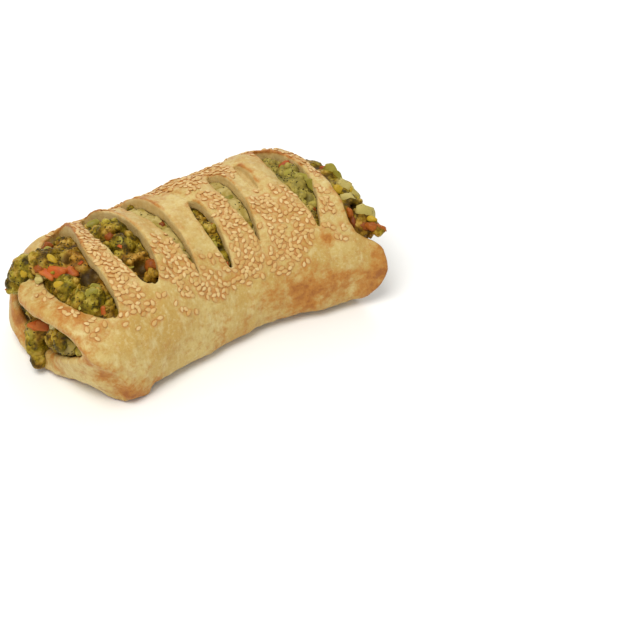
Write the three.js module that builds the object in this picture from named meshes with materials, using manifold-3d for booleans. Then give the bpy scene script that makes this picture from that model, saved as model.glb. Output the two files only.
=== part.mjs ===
// Vegetable strudel, baked: a puff pastry sheet wrapped round a vegetable filling, slit across the top
// and sown with sesame. Millimetres, +X along the strudel, -Y its long near side, +Z up.
import * as THREE from 'three';
import { mergeVertices } from 'three/addons/utils/BufferGeometryUtils.js';
import Module from 'manifold-3d';

const wasm = await Module();
wasm.setup();

// Outer form at stations along the strudel: sideways bow of the middle, half width and height
const stations = [
  { x: -88, bow: -2, halfWidth: 44, height: 38 },
  { x: -78, bow: -1, halfWidth: 46.5, height: 44 },
  { x: -66, bow: 0, halfWidth: 47.8, height: 50 },
  { x: -50, bow: 1.5, halfWidth: 48.3, height: 54 },
  { x: -10, bow: 8.3, halfWidth: 46.2, height: 54.4 },
  { x: 25, bow: 11.3, halfWidth: 46.4, height: 55.8 },
  { x: 55, bow: 8.8, halfWidth: 49.7, height: 56.4 },
  { x: 78, bow: 4.7, halfWidth: 51.3, height: 53.5 },
];
const bellyHeight = 14; // where the section is widest
const crownPower = 2.25; // roundness of the section above the belly
const basePower = 4.5; // and below it, where it is nearly square
const restHeight = 0.5; // the underside is pressed flat at this height

// Both open ends: how far the sheet reaches at angles round the section, 0 at the ridge and -90 near side
const leftRim = [
  [-180, -76], [-142, -72], [-124, -66.5], [-112, -61.5], [-103, -59.5], [-93, -59], [-82, -63.5], [-72, -72],
  [-62, -75], [-52, -76.5], [-40, -80], [-20, -83.5], [5, -85], [20, -84], [29, -79], [38, -72], [70, -69.5],
  [98, -71], [112, -75.5], [130, -77.5], [155, -77],
];
const rightRim = [
  [-180, 73], [-140, 72], [-112, 71], [-99, 72], [-92, 77], [-82, 80], [-72, 80], [-65, 76], [-57, 67],
  [-35, 66.5], [0, 68.2], [40, 69.5], [75, 73], [110, 74], [145, 73],
];
const rimRound = 2.6; // rounding of the cut edge of the sheet

// Thickness of the baked sheet
const topWall = 6;
const sideWall = 6.5;
const baseWall = 4.5;

// The sheet's left edge is turned up from the table in front of the filling: its foot and its top edge
const lipFoot = [
  [-49, -42, 1.3], [-56, -40.5, 1.3], [-61, -35.5, 1.3], [-63, -26, 1.3], [-66.5, -17, 1.3], [-71.5, -10, 1.3],
  [-74, -2, 1.3], [-77, 5, 1.3], [-78, 15, 1.3], [-77.5, 27, 1.3], [-69, 43, 1.3],
];
const lipTop = [
  [-53, -43, 30], [-63, -41.5, 31], [-71, -38, 29.5], [-75, -28, 23.5], [-76.5, -18, 18.5], [-77, -8, 12.5],
  [-78, 2, 10], [-79.5, 10, 11.5], [-80.5, 17, 18], [-80, 25, 25], [-71, 43.5, 31],
];
const lipHalfThickness = 3.6;
const lipBulge = 2; // outwards, half way up

// Slits across the top, from the near end to the far one: ends, widest gap, bow, where it is widest, how far
// the strip on its right lifts its edge, and how pointed its ends are
const slits = [
  { near: [-54, -35], far: [-50, 38], gap: 20.5, bow: -10, peak: 0.5, lift: 1.4, point: 0.5 },
  { near: [-33.5, -27.5], far: [-37, 39], gap: 15, bow: 0.6, peak: 0.5, lift: 2.2, point: 0.5 },
  { near: [-11, -26], far: [-17.5, 39], gap: 6, bow: 1, peak: 0.68, lift: 3, point: 0.6 },
  { near: [5.8, -26], far: [4.4, 14], gap: 5, bow: -0.4, peak: 0.55, lift: 1.8, point: 0.5 },
  { near: [22.8, -27.5], far: [24, 37], gap: 7, bow: 0.6, peak: 0.78, lift: 2, point: 0.6 },
  { near: [36.8, 1], far: [37.5, 26], gap: 2.6, bow: 0, peak: 0.5, lift: 1, point: 0.5 },
  { near: [51, -30], far: [54, 37], gap: 10.4, bow: 5, peak: 0.58, lift: 1.2, point: 0.85 },
];
const slitFloor = 24; // the slits are cut down to this height
const slitSteps = 10;

// The strips between the slits puff up: how far, and how wide their shaped edges are
const stripPuff = 2;
const edgeWidth = 8;
const wrinkle = 0.6;

// Sesame, sown on the top
const seedCount = 92;
const seedSize = [1.75, 1.15, 0.85];
const seedSink = 0.1;
const seedSpacing = 4.3;
const slitMargin = 2.4;
const heapEdge = { x: -66, y: -8 };

// The filling, its depth under the top and how far it stands back from the rims
const gap = 0.3; // to the crust
const fillingDepth = 4;
const fillingSetBack = 4;
const fillingBulge = 8; // out of the right end, most at the top
const endPieceCount = 10;

// Middles of the end faces, inside the rims
const leftMiddle = -72;
const rightMiddle = 68;
const openingReach = 14; // the hollow runs out this far past the rims

const crustColour = 0xd2b478;
const fillingColour = 0x8f8a3c;

// Grid of the lofts
const outerGrid = { around: 34, along: 46 };
const innerGrid = { around: 20, along: 12 };
const lipGrid = { around: 12, along: 18 };

const rad = THREE.MathUtils.degToRad;

function seededRandom(seed) {
  let state = seed;
  return () => {
    state = (state * 1664525 + 1013904223) % 4294967296;
    return state / 4294967296;
  };
}

// A smooth curve through knots [t, value], by cubic pieces
function through(knots, t) {
  const last = knots.length - 1;
  let i = 0;
  while (i < last - 1 && t > knots[i + 1][0]) i++;
  const slope = (k) => {
    const a = knots[Math.max(k - 1, 0)];
    const b = knots[Math.min(k + 1, last)];
    return (b[1] - a[1]) / (b[0] - a[0]);
  };
  const [t0, v0] = knots[i];
  const [t1, v1] = knots[i + 1];
  const span = t1 - t0;
  const u = THREE.MathUtils.clamp((t - t0) / span, 0, 1);
  const stay = (1 + 2 * u) * (1 - u) ** 2;
  const leaving = u * (1 - u) ** 2 * span * slope(i);
  const arriving = u ** 2 * (1 - u) * span * slope(i + 1);
  return stay * v0 + (1 - stay) * v1 + leaving - arriving;
}

// The same for a rim, whose knots go once round
function rimAt(knots, angle) {
  const before = knots.slice(-2).map(([a, x]) => [a - 360, x]);
  const after = knots.slice(0, 2).map(([a, x]) => [a + 360, x]);
  return through([...before, ...knots, ...after], angle);
}

const sizeKnots = (key) => stations.map((s) => [s.x, s[key]]);
const bowKnots = sizeKnots('bow');
const widthKnots = sizeKnots('halfWidth');
const heightKnots = sizeKnots('height');

function sectionRadius(x, angle) {
  const up = Math.cos(rad(angle));
  const side = Math.abs(Math.sin(rad(angle)));
  const reach = up > 0 ? through(heightKnots, x) - bellyHeight : bellyHeight;
  const power = up > 0 ? crownPower : basePower;
  const width = through(widthKnots, x);
  return ((side / width) ** power + (Math.abs(up) / reach) ** power) ** (-1 / power);
}

function onSection(x, angle, radius) {
  const y = through(bowKnots, x) + radius * Math.sin(rad(angle));
  const z = bellyHeight + radius * Math.cos(rad(angle));
  return new THREE.Vector3(x, y, z);
}

// Where a slit's middle line and its half gap are at a given y; null beyond its ends
function slitAt(slit, y) {
  const t = (y - slit.near[1]) / (slit.far[1] - slit.near[1]);
  if (t < 0 || t > 1) return null;
  const x = THREE.MathUtils.lerp(slit.near[0], slit.far[0], t) + 4 * slit.bow * t * (1 - t);
  const skew = t ** (Math.log(0.5) / Math.log(slit.peak));
  const half = (slit.gap / 2) * Math.max(4 * skew * (1 - skew), 0) ** slit.point;
  return { x, half };
}

// Height that the strips stand over the plain section
function stripRelief(x, y) {
  let height = stripPuff;
  for (const slit of slits) {
    const here = slitAt(slit, y);
    if (!here) continue;
    const right = x - (here.x + here.half);
    const left = here.x - here.half - x;
    const opened = Math.min(here.half / 4, 1);
    const rise = 1 - Math.max(right, 0) / edgeWidth;
    const fall = 1 - Math.max(left, 0) / edgeWidth;
    if (right > -here.half && right < edgeWidth) height += opened * slit.lift * rise;
    if (left > -here.half && left < edgeWidth) height -= opened * stripPuff * fall;
  }
  return height;
}

function wrinkles(x, angle) {
  const slow = Math.sin(x * 0.11 + angle * 0.035) + Math.sin(x * 0.057 - angle * 0.061 + 1.3);
  const quick = Math.sin(x * 0.29 + angle * 0.083 + 2.1) * 0.5;
  return wrinkle * (slow + quick);
}

function outerRadius(x, angle) {
  const plain = sectionRadius(x, angle);
  const y = onSection(x, angle, plain).y;
  const crown = THREE.MathUtils.smoothstep(Math.cos(rad(angle)), 0.2, 0.7);
  const base = THREE.MathUtils.smoothstep(Math.cos(rad(angle)), -0.9, -0.2);
  return plain + crown * (stripRelief(x, y) - stripPuff) + base * wrinkles(x, angle);
}

function wallAt(angle) {
  const up = Math.cos(rad(angle));
  return up > 0
    ? THREE.MathUtils.lerp(sideWall, topWall, up)
    : THREE.MathUtils.lerp(sideWall, baseWall, THREE.MathUtils.smoothstep(-up, 0, 0.4));
}

// Even steps along a mean section, as angles seen from its middle
function spreadAngle(turn) {
  const side = Math.sin(turn);
  const up = Math.cos(turn);
  const power = up > 0 ? crownPower : basePower;
  const reach = up > 0 ? 42 : bellyHeight;
  const y = 48 * Math.sign(side) * Math.abs(side) ** (2 / power);
  const z = reach * Math.sign(up) * Math.abs(up) ** (2 / power);
  return THREE.MathUtils.radToDeg(Math.atan2(y, z));
}

// A closed loft: a sphere's grid, with its poles as the middles of the two end faces
function loft(grid, place) {
  const ball = new THREE.SphereGeometry(1, grid.around, grid.along);
  ball.deleteAttribute('normal');
  ball.deleteAttribute('uv');
  const geometry = mergeVertices(ball);
  const { position } = geometry.attributes;
  for (let i = 0; i < position.count; i++) {
    const v = Math.acos(THREE.MathUtils.clamp(position.getY(i), -1, 1)) / Math.PI;
    const turn = Math.atan2(position.getZ(i), -position.getX(i));
    const point = place(v, turn);
    position.setXYZ(i, point.x, point.y, point.z);
  }
  return geometry;
}

// A closed geometry with shared corners, ready to be joined and cut
function toSolid(geometry) {
  geometry.deleteAttribute('normal');
  geometry.deleteAttribute('uv');
  const merged = mergeVertices(geometry, 1e-5);
  const mesh = new wasm.Mesh({
    numProp: 3,
    vertProperties: merged.attributes.position.array,
    triVerts: new Uint32Array(merged.index.array),
  });
  return new wasm.Manifold(mesh);
}

// The sheet's outside as one closed body; grow makes it larger all round
function outerBody(grow) {
  const rings = outerGrid.along;
  const rimRings = 3;
  return toSolid(loft(outerGrid, (v, turn) => {
    const angle = spreadAngle(turn);
    const ring = Math.round(v * rings);
    if (ring === 0) return onSection(leftMiddle - grow, 0, 0);
    if (ring === rings) return onSection(rightMiddle + grow, 0, 0);
    const left = rimAt(leftRim, angle) - grow;
    const right = rimAt(rightRim, angle) + grow;
    const fromEnd = Math.min(ring - 1, rings - 1 - ring);
    let edge = rimRound;
    let inset = 0;
    if (fromEnd < rimRings) {
      const turn = (fromEnd / rimRings) * Math.PI / 2;
      edge = rimRound * (1 - Math.cos(turn));
      inset = rimRound * (1 - Math.sin(turn));
    }
    const share = THREE.MathUtils.clamp((ring - 1 - rimRings) / (rings - 2 - 2 * rimRings), 0, 1);
    let x = THREE.MathUtils.lerp(left + rimRound, right - rimRound, share);
    if (fromEnd < rimRings) x = ring < rings / 2 ? left + edge : right - edge;
    const point = onSection(x, angle, outerRadius(x, angle) - inset + grow);
    point.z = Math.max(point.z, restHeight - grow);
    return point;
  }));
}

// The hollow inside the sheet, run out through both ends
function hollow(inset) {
  const rings = innerGrid.along;
  const [first, last] = [stations[0].x, stations[stations.length - 1].x];
  return toSolid(loft(innerGrid, (v, turn) => {
    const angle = spreadAngle(turn);
    const ring = Math.round(v * rings);
    if (ring === 0) return onSection(leftMiddle - 2 * openingReach, 0, 0);
    if (ring === rings) return onSection(rightMiddle + 2 * openingReach, 0, 0);
    const left = rimAt(leftRim, angle) - openingReach;
    const right = rimAt(rightRim, angle) + openingReach;
    const x = THREE.MathUtils.lerp(left, right, (ring - 1) / (rings - 2));
    const within = THREE.MathUtils.clamp(x, first, last);
    const point = onSection(within, angle, sectionRadius(within, angle) - wallAt(angle) - inset);
    point.x = x;
    point.z = Math.max(point.z, baseWall + inset);
    return point;
  }));
}

// A slit's cutter: its outline from above, pulled up through the top
function slitCutter(slit, narrow) {
  const left = [];
  const right = [];
  for (let i = 1; i < slitSteps; i++) {
    const y = THREE.MathUtils.lerp(slit.near[1], slit.far[1], (1 - Math.cos((i / slitSteps) * Math.PI)) / 2);
    const here = slitAt(slit, y);
    const half = Math.max(here.half - narrow, 0.2);
    left.push(new THREE.Vector2(here.x - half, y));
    right.unshift(new THREE.Vector2(here.x + half, y));
  }
  const outline = new THREE.Shape([new THREE.Vector2(...slit.near), ...right.reverse(),
    new THREE.Vector2(...slit.far), ...left.reverse()]);
  const cutter = new THREE.ExtrudeGeometry(outline, { depth: 60, bevelEnabled: false });
  cutter.translate(0, 0, slitFloor);
  return toSolid(cutter);
}

// The turned-up edge: a low wall with a round edge, from its foot to its top
function lip(grow) {
  const curve = (points) => new THREE.CatmullRomCurve3(points.map((p) => new THREE.Vector3(...p)));
  const foot = curve(lipFoot);
  const top = curve(lipTop);
  return toSolid(loft(lipGrid, (v, turn) => {
    const t = THREE.MathUtils.clamp(v, 0, 1);
    const round = Math.sin(t * Math.PI) ** 0.3;
    const up = Math.sign(Math.cos(turn)) * Math.abs(Math.cos(turn)) ** 0.7;
    const side = Math.sign(Math.sin(turn)) * Math.abs(Math.sin(turn)) ** 0.7;
    const point = foot.getPoint(t).lerp(top.getPoint(t), (1 + up * round) / 2);
    const along = foot.getTangent(t);
    const across = (lipHalfThickness + grow) * round * side + lipBulge * (1 - up ** 2) * round;
    point.x -= along.y * across;
    point.y += along.x * across;
    point.z += grow * up;
    return point;
  }));
}

function crustBody(grow) {
  let body = outerBody(grow).subtract(hollow(grow)).add(lip(grow));
  for (const slit of slits) body = body.subtract(slitCutter(slit, grow));
  return body;
}

// Sesame: small ovals, half sunk, lying flat on the top where the sowing rule puts them
function outerPoint(x, angle) {
  return onSection(x, angle, outerRadius(x, angle));
}

function outerNormal(x, angle) {
  const alongX = outerPoint(x + 0.5, angle).sub(outerPoint(x - 0.5, angle));
  const round = outerPoint(x, angle + 0.5).sub(outerPoint(x, angle - 0.5));
  return round.cross(alongX).normalize().negate();
}

// How thick the sesame lies, 0 to 1: a band along both shoulders, one strip all over, little elsewhere
function sowing(x, angle) {
  const nearBand = Math.exp(-(((angle + 40) / 17) ** 2));
  const farBand = Math.exp(-(((angle - 40) / 15) ** 2));
  const fullStrip = x > -52 && x < -36 ? 1 : 0;
  const bare = x < -60 || x > 58 ? 0.3 : 1;
  return Math.min(1, nearBand + 0.8 * farBand + fullStrip) * bare;
}

function clearOfSlits(x, y) {
  return slits.every((slit) => {
    const yHere = THREE.MathUtils.clamp(y, slit.near[1], slit.far[1]);
    const here = slitAt(slit, yHere);
    return Math.hypot(Math.max(Math.abs(x - here.x) - here.half, 0), y - yHere) > slitMargin;
  });
}

// The heap of filling that lies over the left end
function underFilling(place) {
  return place.x < heapEdge.x && place.y > heapEdge.y;
}

function sesame() {
  const random = seededRandom(7);
  const places = [];
  const seeds = [];
  for (let tries = 0; tries < 6000 && seeds.length < seedCount; tries++) {
    const x = THREE.MathUtils.lerp(-78, 66, random());
    const angle = THREE.MathUtils.lerp(-66, 58, random());
    const turn = random() * Math.PI;
    const kept = random() < sowing(x, angle);
    const place = outerPoint(x, angle);
    if (!kept || !clearOfSlits(x, place.y) || underFilling(place)) continue;
    if (places.some((other) => other.distanceTo(place) < seedSpacing)) continue;
    places.push(place.clone());
    const normal = outerNormal(x, angle);
    const flat = new THREE.Quaternion().setFromUnitVectors(new THREE.Vector3(0, 0, 1), normal);
    const spin = new THREE.Quaternion().setFromAxisAngle(new THREE.Vector3(0, 0, 1), turn);
    const seed = new THREE.SphereGeometry(1, 5, 3);
    seed.rotateX(Math.PI / 2);
    seed.scale(...seedSize);
    seed.applyQuaternion(flat.multiply(spin));
    seed.translate(...place.addScaledVector(normal, -seedSink));
    seeds.push(toSolid(seed));
  }
  return seeds;
}

// The filling's body follows the hollow and rises into the slits
function fillingCore() {
  const rings = innerGrid.along;
  return toSolid(loft(innerGrid, (v, turn) => {
    const angle = spreadAngle(turn);
    const ring = Math.round(v * rings);
    if (ring === 0) return onSection(leftMiddle, 0, 0);
    if (ring === rings) return onSection(rightMiddle + fillingSetBack + fillingBulge / 2, 0, 0);
    const left = Math.max(rimAt(leftRim, angle) + fillingSetBack, leftMiddle - fillingSetBack);
    const right = rightMiddle + fillingSetBack + fillingBulge * Math.max(Math.cos(rad(angle)), 0);
    const x = THREE.MathUtils.lerp(left, right, (ring - 1) / (rings - 2));
    const roundOff = ring === 1 || ring === rings - 1 ? fillingSetBack : 0;
    const point = onSection(x, angle, sectionRadius(x, angle) - fillingDepth - roundOff);
    point.z = Math.max(point.z, baseWall + gap);
    return point;
  }));
}

// What the vegetables are like; each returns a closed geometry round its own middle
const vegetables = {
  floret: (size) => lumpy(new THREE.IcosahedronGeometry(size, size > 7 ? 1 : 0), 0.16 * size),
  bead: (size) => new THREE.IcosahedronGeometry(size, 0),
  dice: (size) => new THREE.BoxGeometry(size * 1.3, size, size * 0.9),
  kernel: (size) => new THREE.SphereGeometry(size, 7, 5).scale(1, 0.8, 0.65),
  chunk: (size) => new THREE.DodecahedronGeometry(size, 0).scale(1.1, 0.9, 0.75),
};

function lumpy(geometry, depth) {
  const { position } = geometry.attributes;
  const point = new THREE.Vector3();
  for (let i = 0; i < position.count; i++) {
    point.fromBufferAttribute(position, i);
    const swell = Math.sin(point.x * 1.7 + 1) * Math.sin(point.y * 1.9) * Math.sin(point.z * 1.6 + 2);
    point.addScaledVector(point.clone().normalize(), depth * swell);
    position.setXYZ(i, point.x, point.y, point.z);
  }
  return geometry;
}

function vegetable(kind, size, at, turn) {
  const geometry = vegetables[kind](size);
  geometry.rotateZ(turn);
  geometry.rotateX(turn * 1.7);
  geometry.translate(...at);
  return toSolid(geometry);
}

// The large pieces that show: what, how large, and the place of the middle
const largePieces = [
  ['floret', 7.5, [-69, 9, 48]], ['floret', 7, [-75, 15, 46.5]], ['floret', 6.5, [-78.5, 16, 42]],
  ['floret', 5, [-81, 17, 37.5]], ['floret', 9, [-60, -16, 44]], ['floret', 7, [-66, -8, 45]],
  ['dice', 9, [-66, 3, 50]], ['kernel', 5.5, [-70, 12, 52]], ['chunk', 7, [-58, 6, 49]],
  ['floret', 6.5, [-77, 4, 18]], ['floret', 5.5, [-82, 1, 12]], ['floret', 4.2, [-84, -2, 6]],
  ['dice', 8, [-76, 10, 27]], ['kernel', 5, [-76, -8, 24]], ['floret', 6, [-74, -20, 27]],
  ['floret', 6, [-74.5, 19, 24]],
  ['floret', 8, [-34, 14, 49]], ['floret', 7, [-34, 2, 50]], ['kernel', 5, [-34, -11, 48]],
  ['chunk', 4.5, [-31, -20, 45]], ['floret', 5, [5, -5, 48.5]], ['chunk', 6, [59, 10, 51]],
  ['floret', 6, [58, 1, 50]], ['dice', 6, [57, 20, 50]], ['chunk', 7, [77, 4, 44]],
  ['floret', 7.5, [75, 16, 43]], ['chunk', 7, [78, -7, 43]], ['kernel', 5.5, [79.5, -17, 40]],
  ['floret', 7.5, [76, -25, 37]], ['chunk', 5, [80, -31, 39]], ['kernel', 5.5, [76, 28, 36]],
  ['chunk', 7, [76, -14, 27]], ['floret', 8, [75, 12, 27]], ['dice', 8, [76, -2, 19]],
];

// Smaller ones by rule, over both end faces
function smallPieces() {
  const random = seededRandom(19);
  const kinds = ['bead', 'kernel', 'dice', 'chunk'];
  const pieces = [];
  for (let i = 0; i < endPieceCount; i++) {
    const leftEnd = i % 2 === 0;
    const angle = THREE.MathUtils.lerp(-95, 95, random());
    const share = Math.sqrt(random()) * 0.85;
    const knots = leftEnd ? leftRim : rightRim;
    const inward = leftEnd ? 1 : -1;
    const middle = leftEnd ? leftMiddle : rightMiddle + fillingSetBack;
    const x = THREE.MathUtils.lerp(middle, rimAt(knots, angle) + inward * fillingSetBack, share);
    const at = onSection(x, angle, share * (sectionRadius(x, angle) - topWall - 3));
    const kind = kinds[Math.floor(random() * kinds.length)];
    pieces.push([kind, THREE.MathUtils.lerp(3.4, 5, random()), [at.x, at.y, Math.max(at.z, 9)]]);
  }
  return pieces;
}

function filling() {
  const pieces = [...largePieces, ...smallPieces()].map(([kind, size, at], i) => vegetable(kind, size, at, i));
  const joined = wasm.Manifold.union([fillingCore(), ...pieces]);
  const bodies = joined.subtract(crustBody(gap)).decompose();
  return bodies.reduce((a, b) => (a.volume() > b.volume() ? a : b));
}

// A solid as a named mesh
function toMesh(name, solid, colour, roughness) {
  const { vertProperties, triVerts } = solid.getMesh();
  const geometry = new THREE.BufferGeometry();
  geometry.setAttribute('position', new THREE.BufferAttribute(vertProperties, 3));
  geometry.setIndex(new THREE.BufferAttribute(triVerts, 1));
  geometry.computeVertexNormals();
  const material = new THREE.MeshStandardMaterial({ color: colour, roughness, metalness: 0 });
  const mesh = new THREE.Mesh(geometry, material);
  mesh.name = name;
  return mesh;
}

const crust = wasm.Manifold.union([crustBody(0), ...sesame()]);
const root = new THREE.Group();
root.add(toMesh('crust', crust, crustColour, 0.6));
root.add(toMesh('filling', filling(), fillingColour, 0.5));

// The origin is under the middle, on the table
const box = new THREE.Box3().setFromObject(root);
root.position.set(-(box.min.x + box.max.x) / 2, -(box.min.y + box.max.y) / 2, -box.min.z);

export default root;
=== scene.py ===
import math

import bmesh
import bpy
import numpy as np
import openvdb
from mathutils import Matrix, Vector
from mathutils.bvhtree import BVHTree


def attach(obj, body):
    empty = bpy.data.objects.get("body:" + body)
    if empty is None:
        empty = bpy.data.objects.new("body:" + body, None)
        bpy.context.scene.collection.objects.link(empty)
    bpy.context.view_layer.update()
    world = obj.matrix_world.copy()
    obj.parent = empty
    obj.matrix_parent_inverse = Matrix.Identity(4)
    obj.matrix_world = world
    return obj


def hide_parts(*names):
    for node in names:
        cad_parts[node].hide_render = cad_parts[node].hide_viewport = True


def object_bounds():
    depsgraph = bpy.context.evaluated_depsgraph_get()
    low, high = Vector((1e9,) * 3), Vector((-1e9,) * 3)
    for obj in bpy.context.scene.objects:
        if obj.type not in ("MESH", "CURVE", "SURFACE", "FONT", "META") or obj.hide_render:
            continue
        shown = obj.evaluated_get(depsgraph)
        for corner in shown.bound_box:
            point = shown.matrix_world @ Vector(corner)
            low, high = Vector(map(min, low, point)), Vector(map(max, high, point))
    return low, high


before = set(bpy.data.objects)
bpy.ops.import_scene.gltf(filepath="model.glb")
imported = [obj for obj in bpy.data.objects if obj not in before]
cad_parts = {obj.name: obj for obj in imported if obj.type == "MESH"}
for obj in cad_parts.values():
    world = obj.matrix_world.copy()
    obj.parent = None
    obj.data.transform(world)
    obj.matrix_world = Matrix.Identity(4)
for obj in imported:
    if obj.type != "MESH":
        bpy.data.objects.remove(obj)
cadBox = [list(corner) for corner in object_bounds()]
print("frame loaded, CAD box", cadBox)

# Shapes are worked out in mm on the loaf's own axes: x along it, -y the long near side, z up
toRow = np.array([1.774, -5.526, -0.5])  # mm, from the loaf's axes to the row's

# The wrapped sheet. Stations: x, sideways bow, half width, height. Rims: angle round the section, x
loaf = dict(
    stations=[(-88, -2, 44, 38), (-78, -1, 46.5, 44), (-66, 0, 47.8, 50), (-50, 1.5, 48.3, 54),
              (-10, 8.3, 46.2, 54.4), (25, 11.3, 46.4, 55.8), (55, 8.8, 49.7, 56.4), (78, 4.7, 51.3, 53.5)],
    belly=14, crownPower=2.25, basePower=4.5, rest=0.5,
    leftRim=[(-180, -76), (-142, -72), (-124, -66.5), (-112, -61.5), (-103, -59.5), (-93, -59), (-82, -63.5),
             (-72, -72), (-62, -75), (-52, -76.5), (-40, -80), (-20, -83.5), (5, -85), (20, -84), (29, -79),
             (38, -72), (70, -69.5), (98, -71), (112, -75.5), (130, -77.5), (155, -77)],
    rightRim=[(-180, 73), (-140, 72), (-112, 71), (-99, 72), (-92, 77), (-82, 80), (-72, 80), (-65, 76),
              (-57, 69), (-35, 69.5), (0, 70.5), (40, 70.5), (75, 73), (110, 74), (145, 73)],
    topWall=6, sideWall=6.5, baseWall=4.5,
    lipFoot=[(-49, -42, 1.3), (-56, -40.5, 1.3), (-61, -35.5, 1.3), (-63, -26, 1.3), (-66.5, -17, 1.3),
             (-71.5, -10, 1.3), (-74, -2, 1.3), (-77, 5, 1.3), (-78, 15, 1.3), (-77.5, 27, 1.3), (-69, 43, 1.3)],
    lipTop=[(-53, -43, 30), (-63, -41.5, 31), (-71, -38, 29.5), (-75, -28, 23.5), (-76.5, -18, 18.5),
            (-77, -8, 12.5), (-78, 2, 10), (-79.5, 10, 11.5), (-80.5, 17, 18), (-80, 25, 25), (-71, 43.5, 31)],
    lipHalf=3.6, lipThin=2.9, lipBulge=2.8, lipRods=140, lipReach=9,
    puff=2, edge=8, wrinkle=0.6, shrink=0.35,
    # how far corners are rounded, mm
    rounded=dict(foot=1.6, leftRim=2.4, rightRim=2.2, hollow=2.6, lip=5, folds=1.2, cuts=1.1),
    # the smooth flap between the two last slits: middle, reach, height
    flap=(45, 23, 8, 17, 1.4),
    # folds pressed into the sheet: from, to, depth, half width
    folds=[((60, -42, 25), (70.5, -44.5, 18.5), 1.8, 1.3), ((69.5, -44.5, 20), (71, -45, 12), 1.8, 1.5),
           ((77, -45.6, 22), (73, -45.5, 14), 1.2, 1.6),
           ((14, -35, 8), (31, -35, 4), 1.1, 1.3), ((-61, -38, 40), (-47, -42, 33), 0.5, 1.2),
           ((-62, -46, 22), (-52, -46.5, 12), 0.6, 1.6), ((-8, -36, 27), (4, -37, 14), 0.5, 1.5),
           ((34, -36, 24), (42, -38, 12), 0.5, 1.6), ((-34, -43, 22), (-28, -42, 10), 0.5, 1.4),
           ((4.4, 12, 55), (2, 24, 53.5), 1.6, 1.2), ((2, 24, 53.5), (-2, 34, 49), 1.2, 1.2)],
)
# The knife, mm: how low it went, the height at which slits have their full width, how much they narrow on each
# side for a mm below it, and the half gap from which a strip's edge stands free
knife = dict(floor=24, top=54, taper=0.04, free=4)
# Slits: near end x, y, far end x, y, widest gap, bow, how far along it is widest, lift of the strip on its
# right, point, floor. The narrow one only opens the top layer
slits = [(-56, -33.5, -50, 38, 20.5, -10, 0.5, 1.4, 0.5, knife["floor"]),
         (-33.5, -27.5, -37, 39, 15, 0.6, 0.5, 2.2, 0.5, knife["floor"]),
         (-11, -26, -17.5, 39, 6, 1, 0.68, 3, 0.55, knife["floor"]),
         (5.8, -26, 4.7, 10, 5, -0.4, 0.52, 1.8, 0.45, knife["floor"]),
         (22.8, -27.5, 23.6, 25, 6.6, 0.6, 0.74, 1.8, 0.45, knife["floor"]),
         (36.8, 3, 37.5, 25, 2.4, 0, 0.5, 1, 0.5, 53),
         (51, -30, 54, 37, 10.4, 5, 0.58, 1.2, 0.8, knife["floor"])]

# The grid on which the shapes are worked out, mm
field = dict(low=(-90.0, -50.0, -1.5), high=(88.0, 63.0, 61.0), step=0.7, quickStep=1.0)
step = field["step"]


def through(knots, t):  # smooth curve through knots (t, value)
    k = np.asarray(knots, float)
    t = np.asarray(t, float)
    last = len(k) - 1
    before, after = k[[max(j - 1, 0) for j in range(last + 1)]], k[[min(j + 1, last) for j in range(last + 1)]]
    slope = (after[:, 1] - before[:, 1]) / (after[:, 0] - before[:, 0])
    i = np.clip(np.searchsorted(k[:, 0], t, side="left") - 1, 0, last - 1)
    span = k[i + 1, 0] - k[i, 0]
    u = np.clip((t - k[i, 0]) / span, 0, 1)
    stay = (1 + 2 * u) * (1 - u) ** 2
    level = stay * k[i, 1] + (1 - stay) * k[i + 1, 1]
    return level + u * (1 - u) ** 2 * span * slope[i] - u ** 2 * (1 - u) * span * slope[i + 1]


def rimAt(knots, angle):  # where an open end's rim is, by the angle round the section
    k = np.asarray(knots, float)
    quarters = np.linspace(-180, 180, 1441)  # quarter degrees
    return np.interp(angle, quarters, through(np.vstack([k[-2:] - [360, 0], k, k[:2] + [360, 0]]), quarters))


def station(column, x):  # one column of the stations, smooth along the loaf
    return through([(s[0], s[column]) for s in loaf["stations"]], x)


def smoothStep(v, low, high):
    t = np.clip((v - low) / (high - low), 0, 1)
    return t * t * (3 - 2 * t)


def softMax(a, b, k):  # the larger of two fields with the corner between them rounded
    h = np.maximum(k - np.abs(a - b), 0) / k
    return np.maximum(a, b) + h * h * k / 4


def softMin(a, b, k):
    return -softMax(-a, -b, k)


def lumps(x, y, z, size, seed):  # smooth random swelling, -1 to 1, about size mm from lump to lump
    table = np.random.default_rng(seed).uniform(-1, 1, (32, 32, 32)).astype(np.float32)
    parts = []
    for v in (x, y, z):
        q = np.asarray(v, np.float32) / np.float32(size)
        i = np.floor(q)
        f = q - i
        parts.append((i.astype(np.int32) & 31, (i.astype(np.int32) + 1) & 31, f * f * (3 - 2 * f)))
    (x0, x1, fx), (y0, y1, fy), (z0, z1, fz) = parts
    low, high = [(table[x0, y0, z] * (1 - fx) + table[x1, y0, z] * fx) * (1 - fy)
                 + (table[x0, y1, z] * (1 - fx) + table[x1, y1, z] * fx) * fy for z in (z0, z1)]
    return low * (1 - fz) + high * fz


def slitAt(slit, y):  # middle line and half gap at y; beyond the ends the half gap is nil
    nearX, nearY, farX, farY, gap, bow, peak, _, point, _ = slit
    t = np.clip((y - nearY) / (farY - nearY), 0, 1)
    x = nearX + (farX - nearX) * t + 4 * bow * t * (1 - t)
    skew = t ** (math.log(0.5) / math.log(peak))
    return x, gap / 2 * np.clip(4 * skew * (1 - skew), 0, 1) ** point


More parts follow.
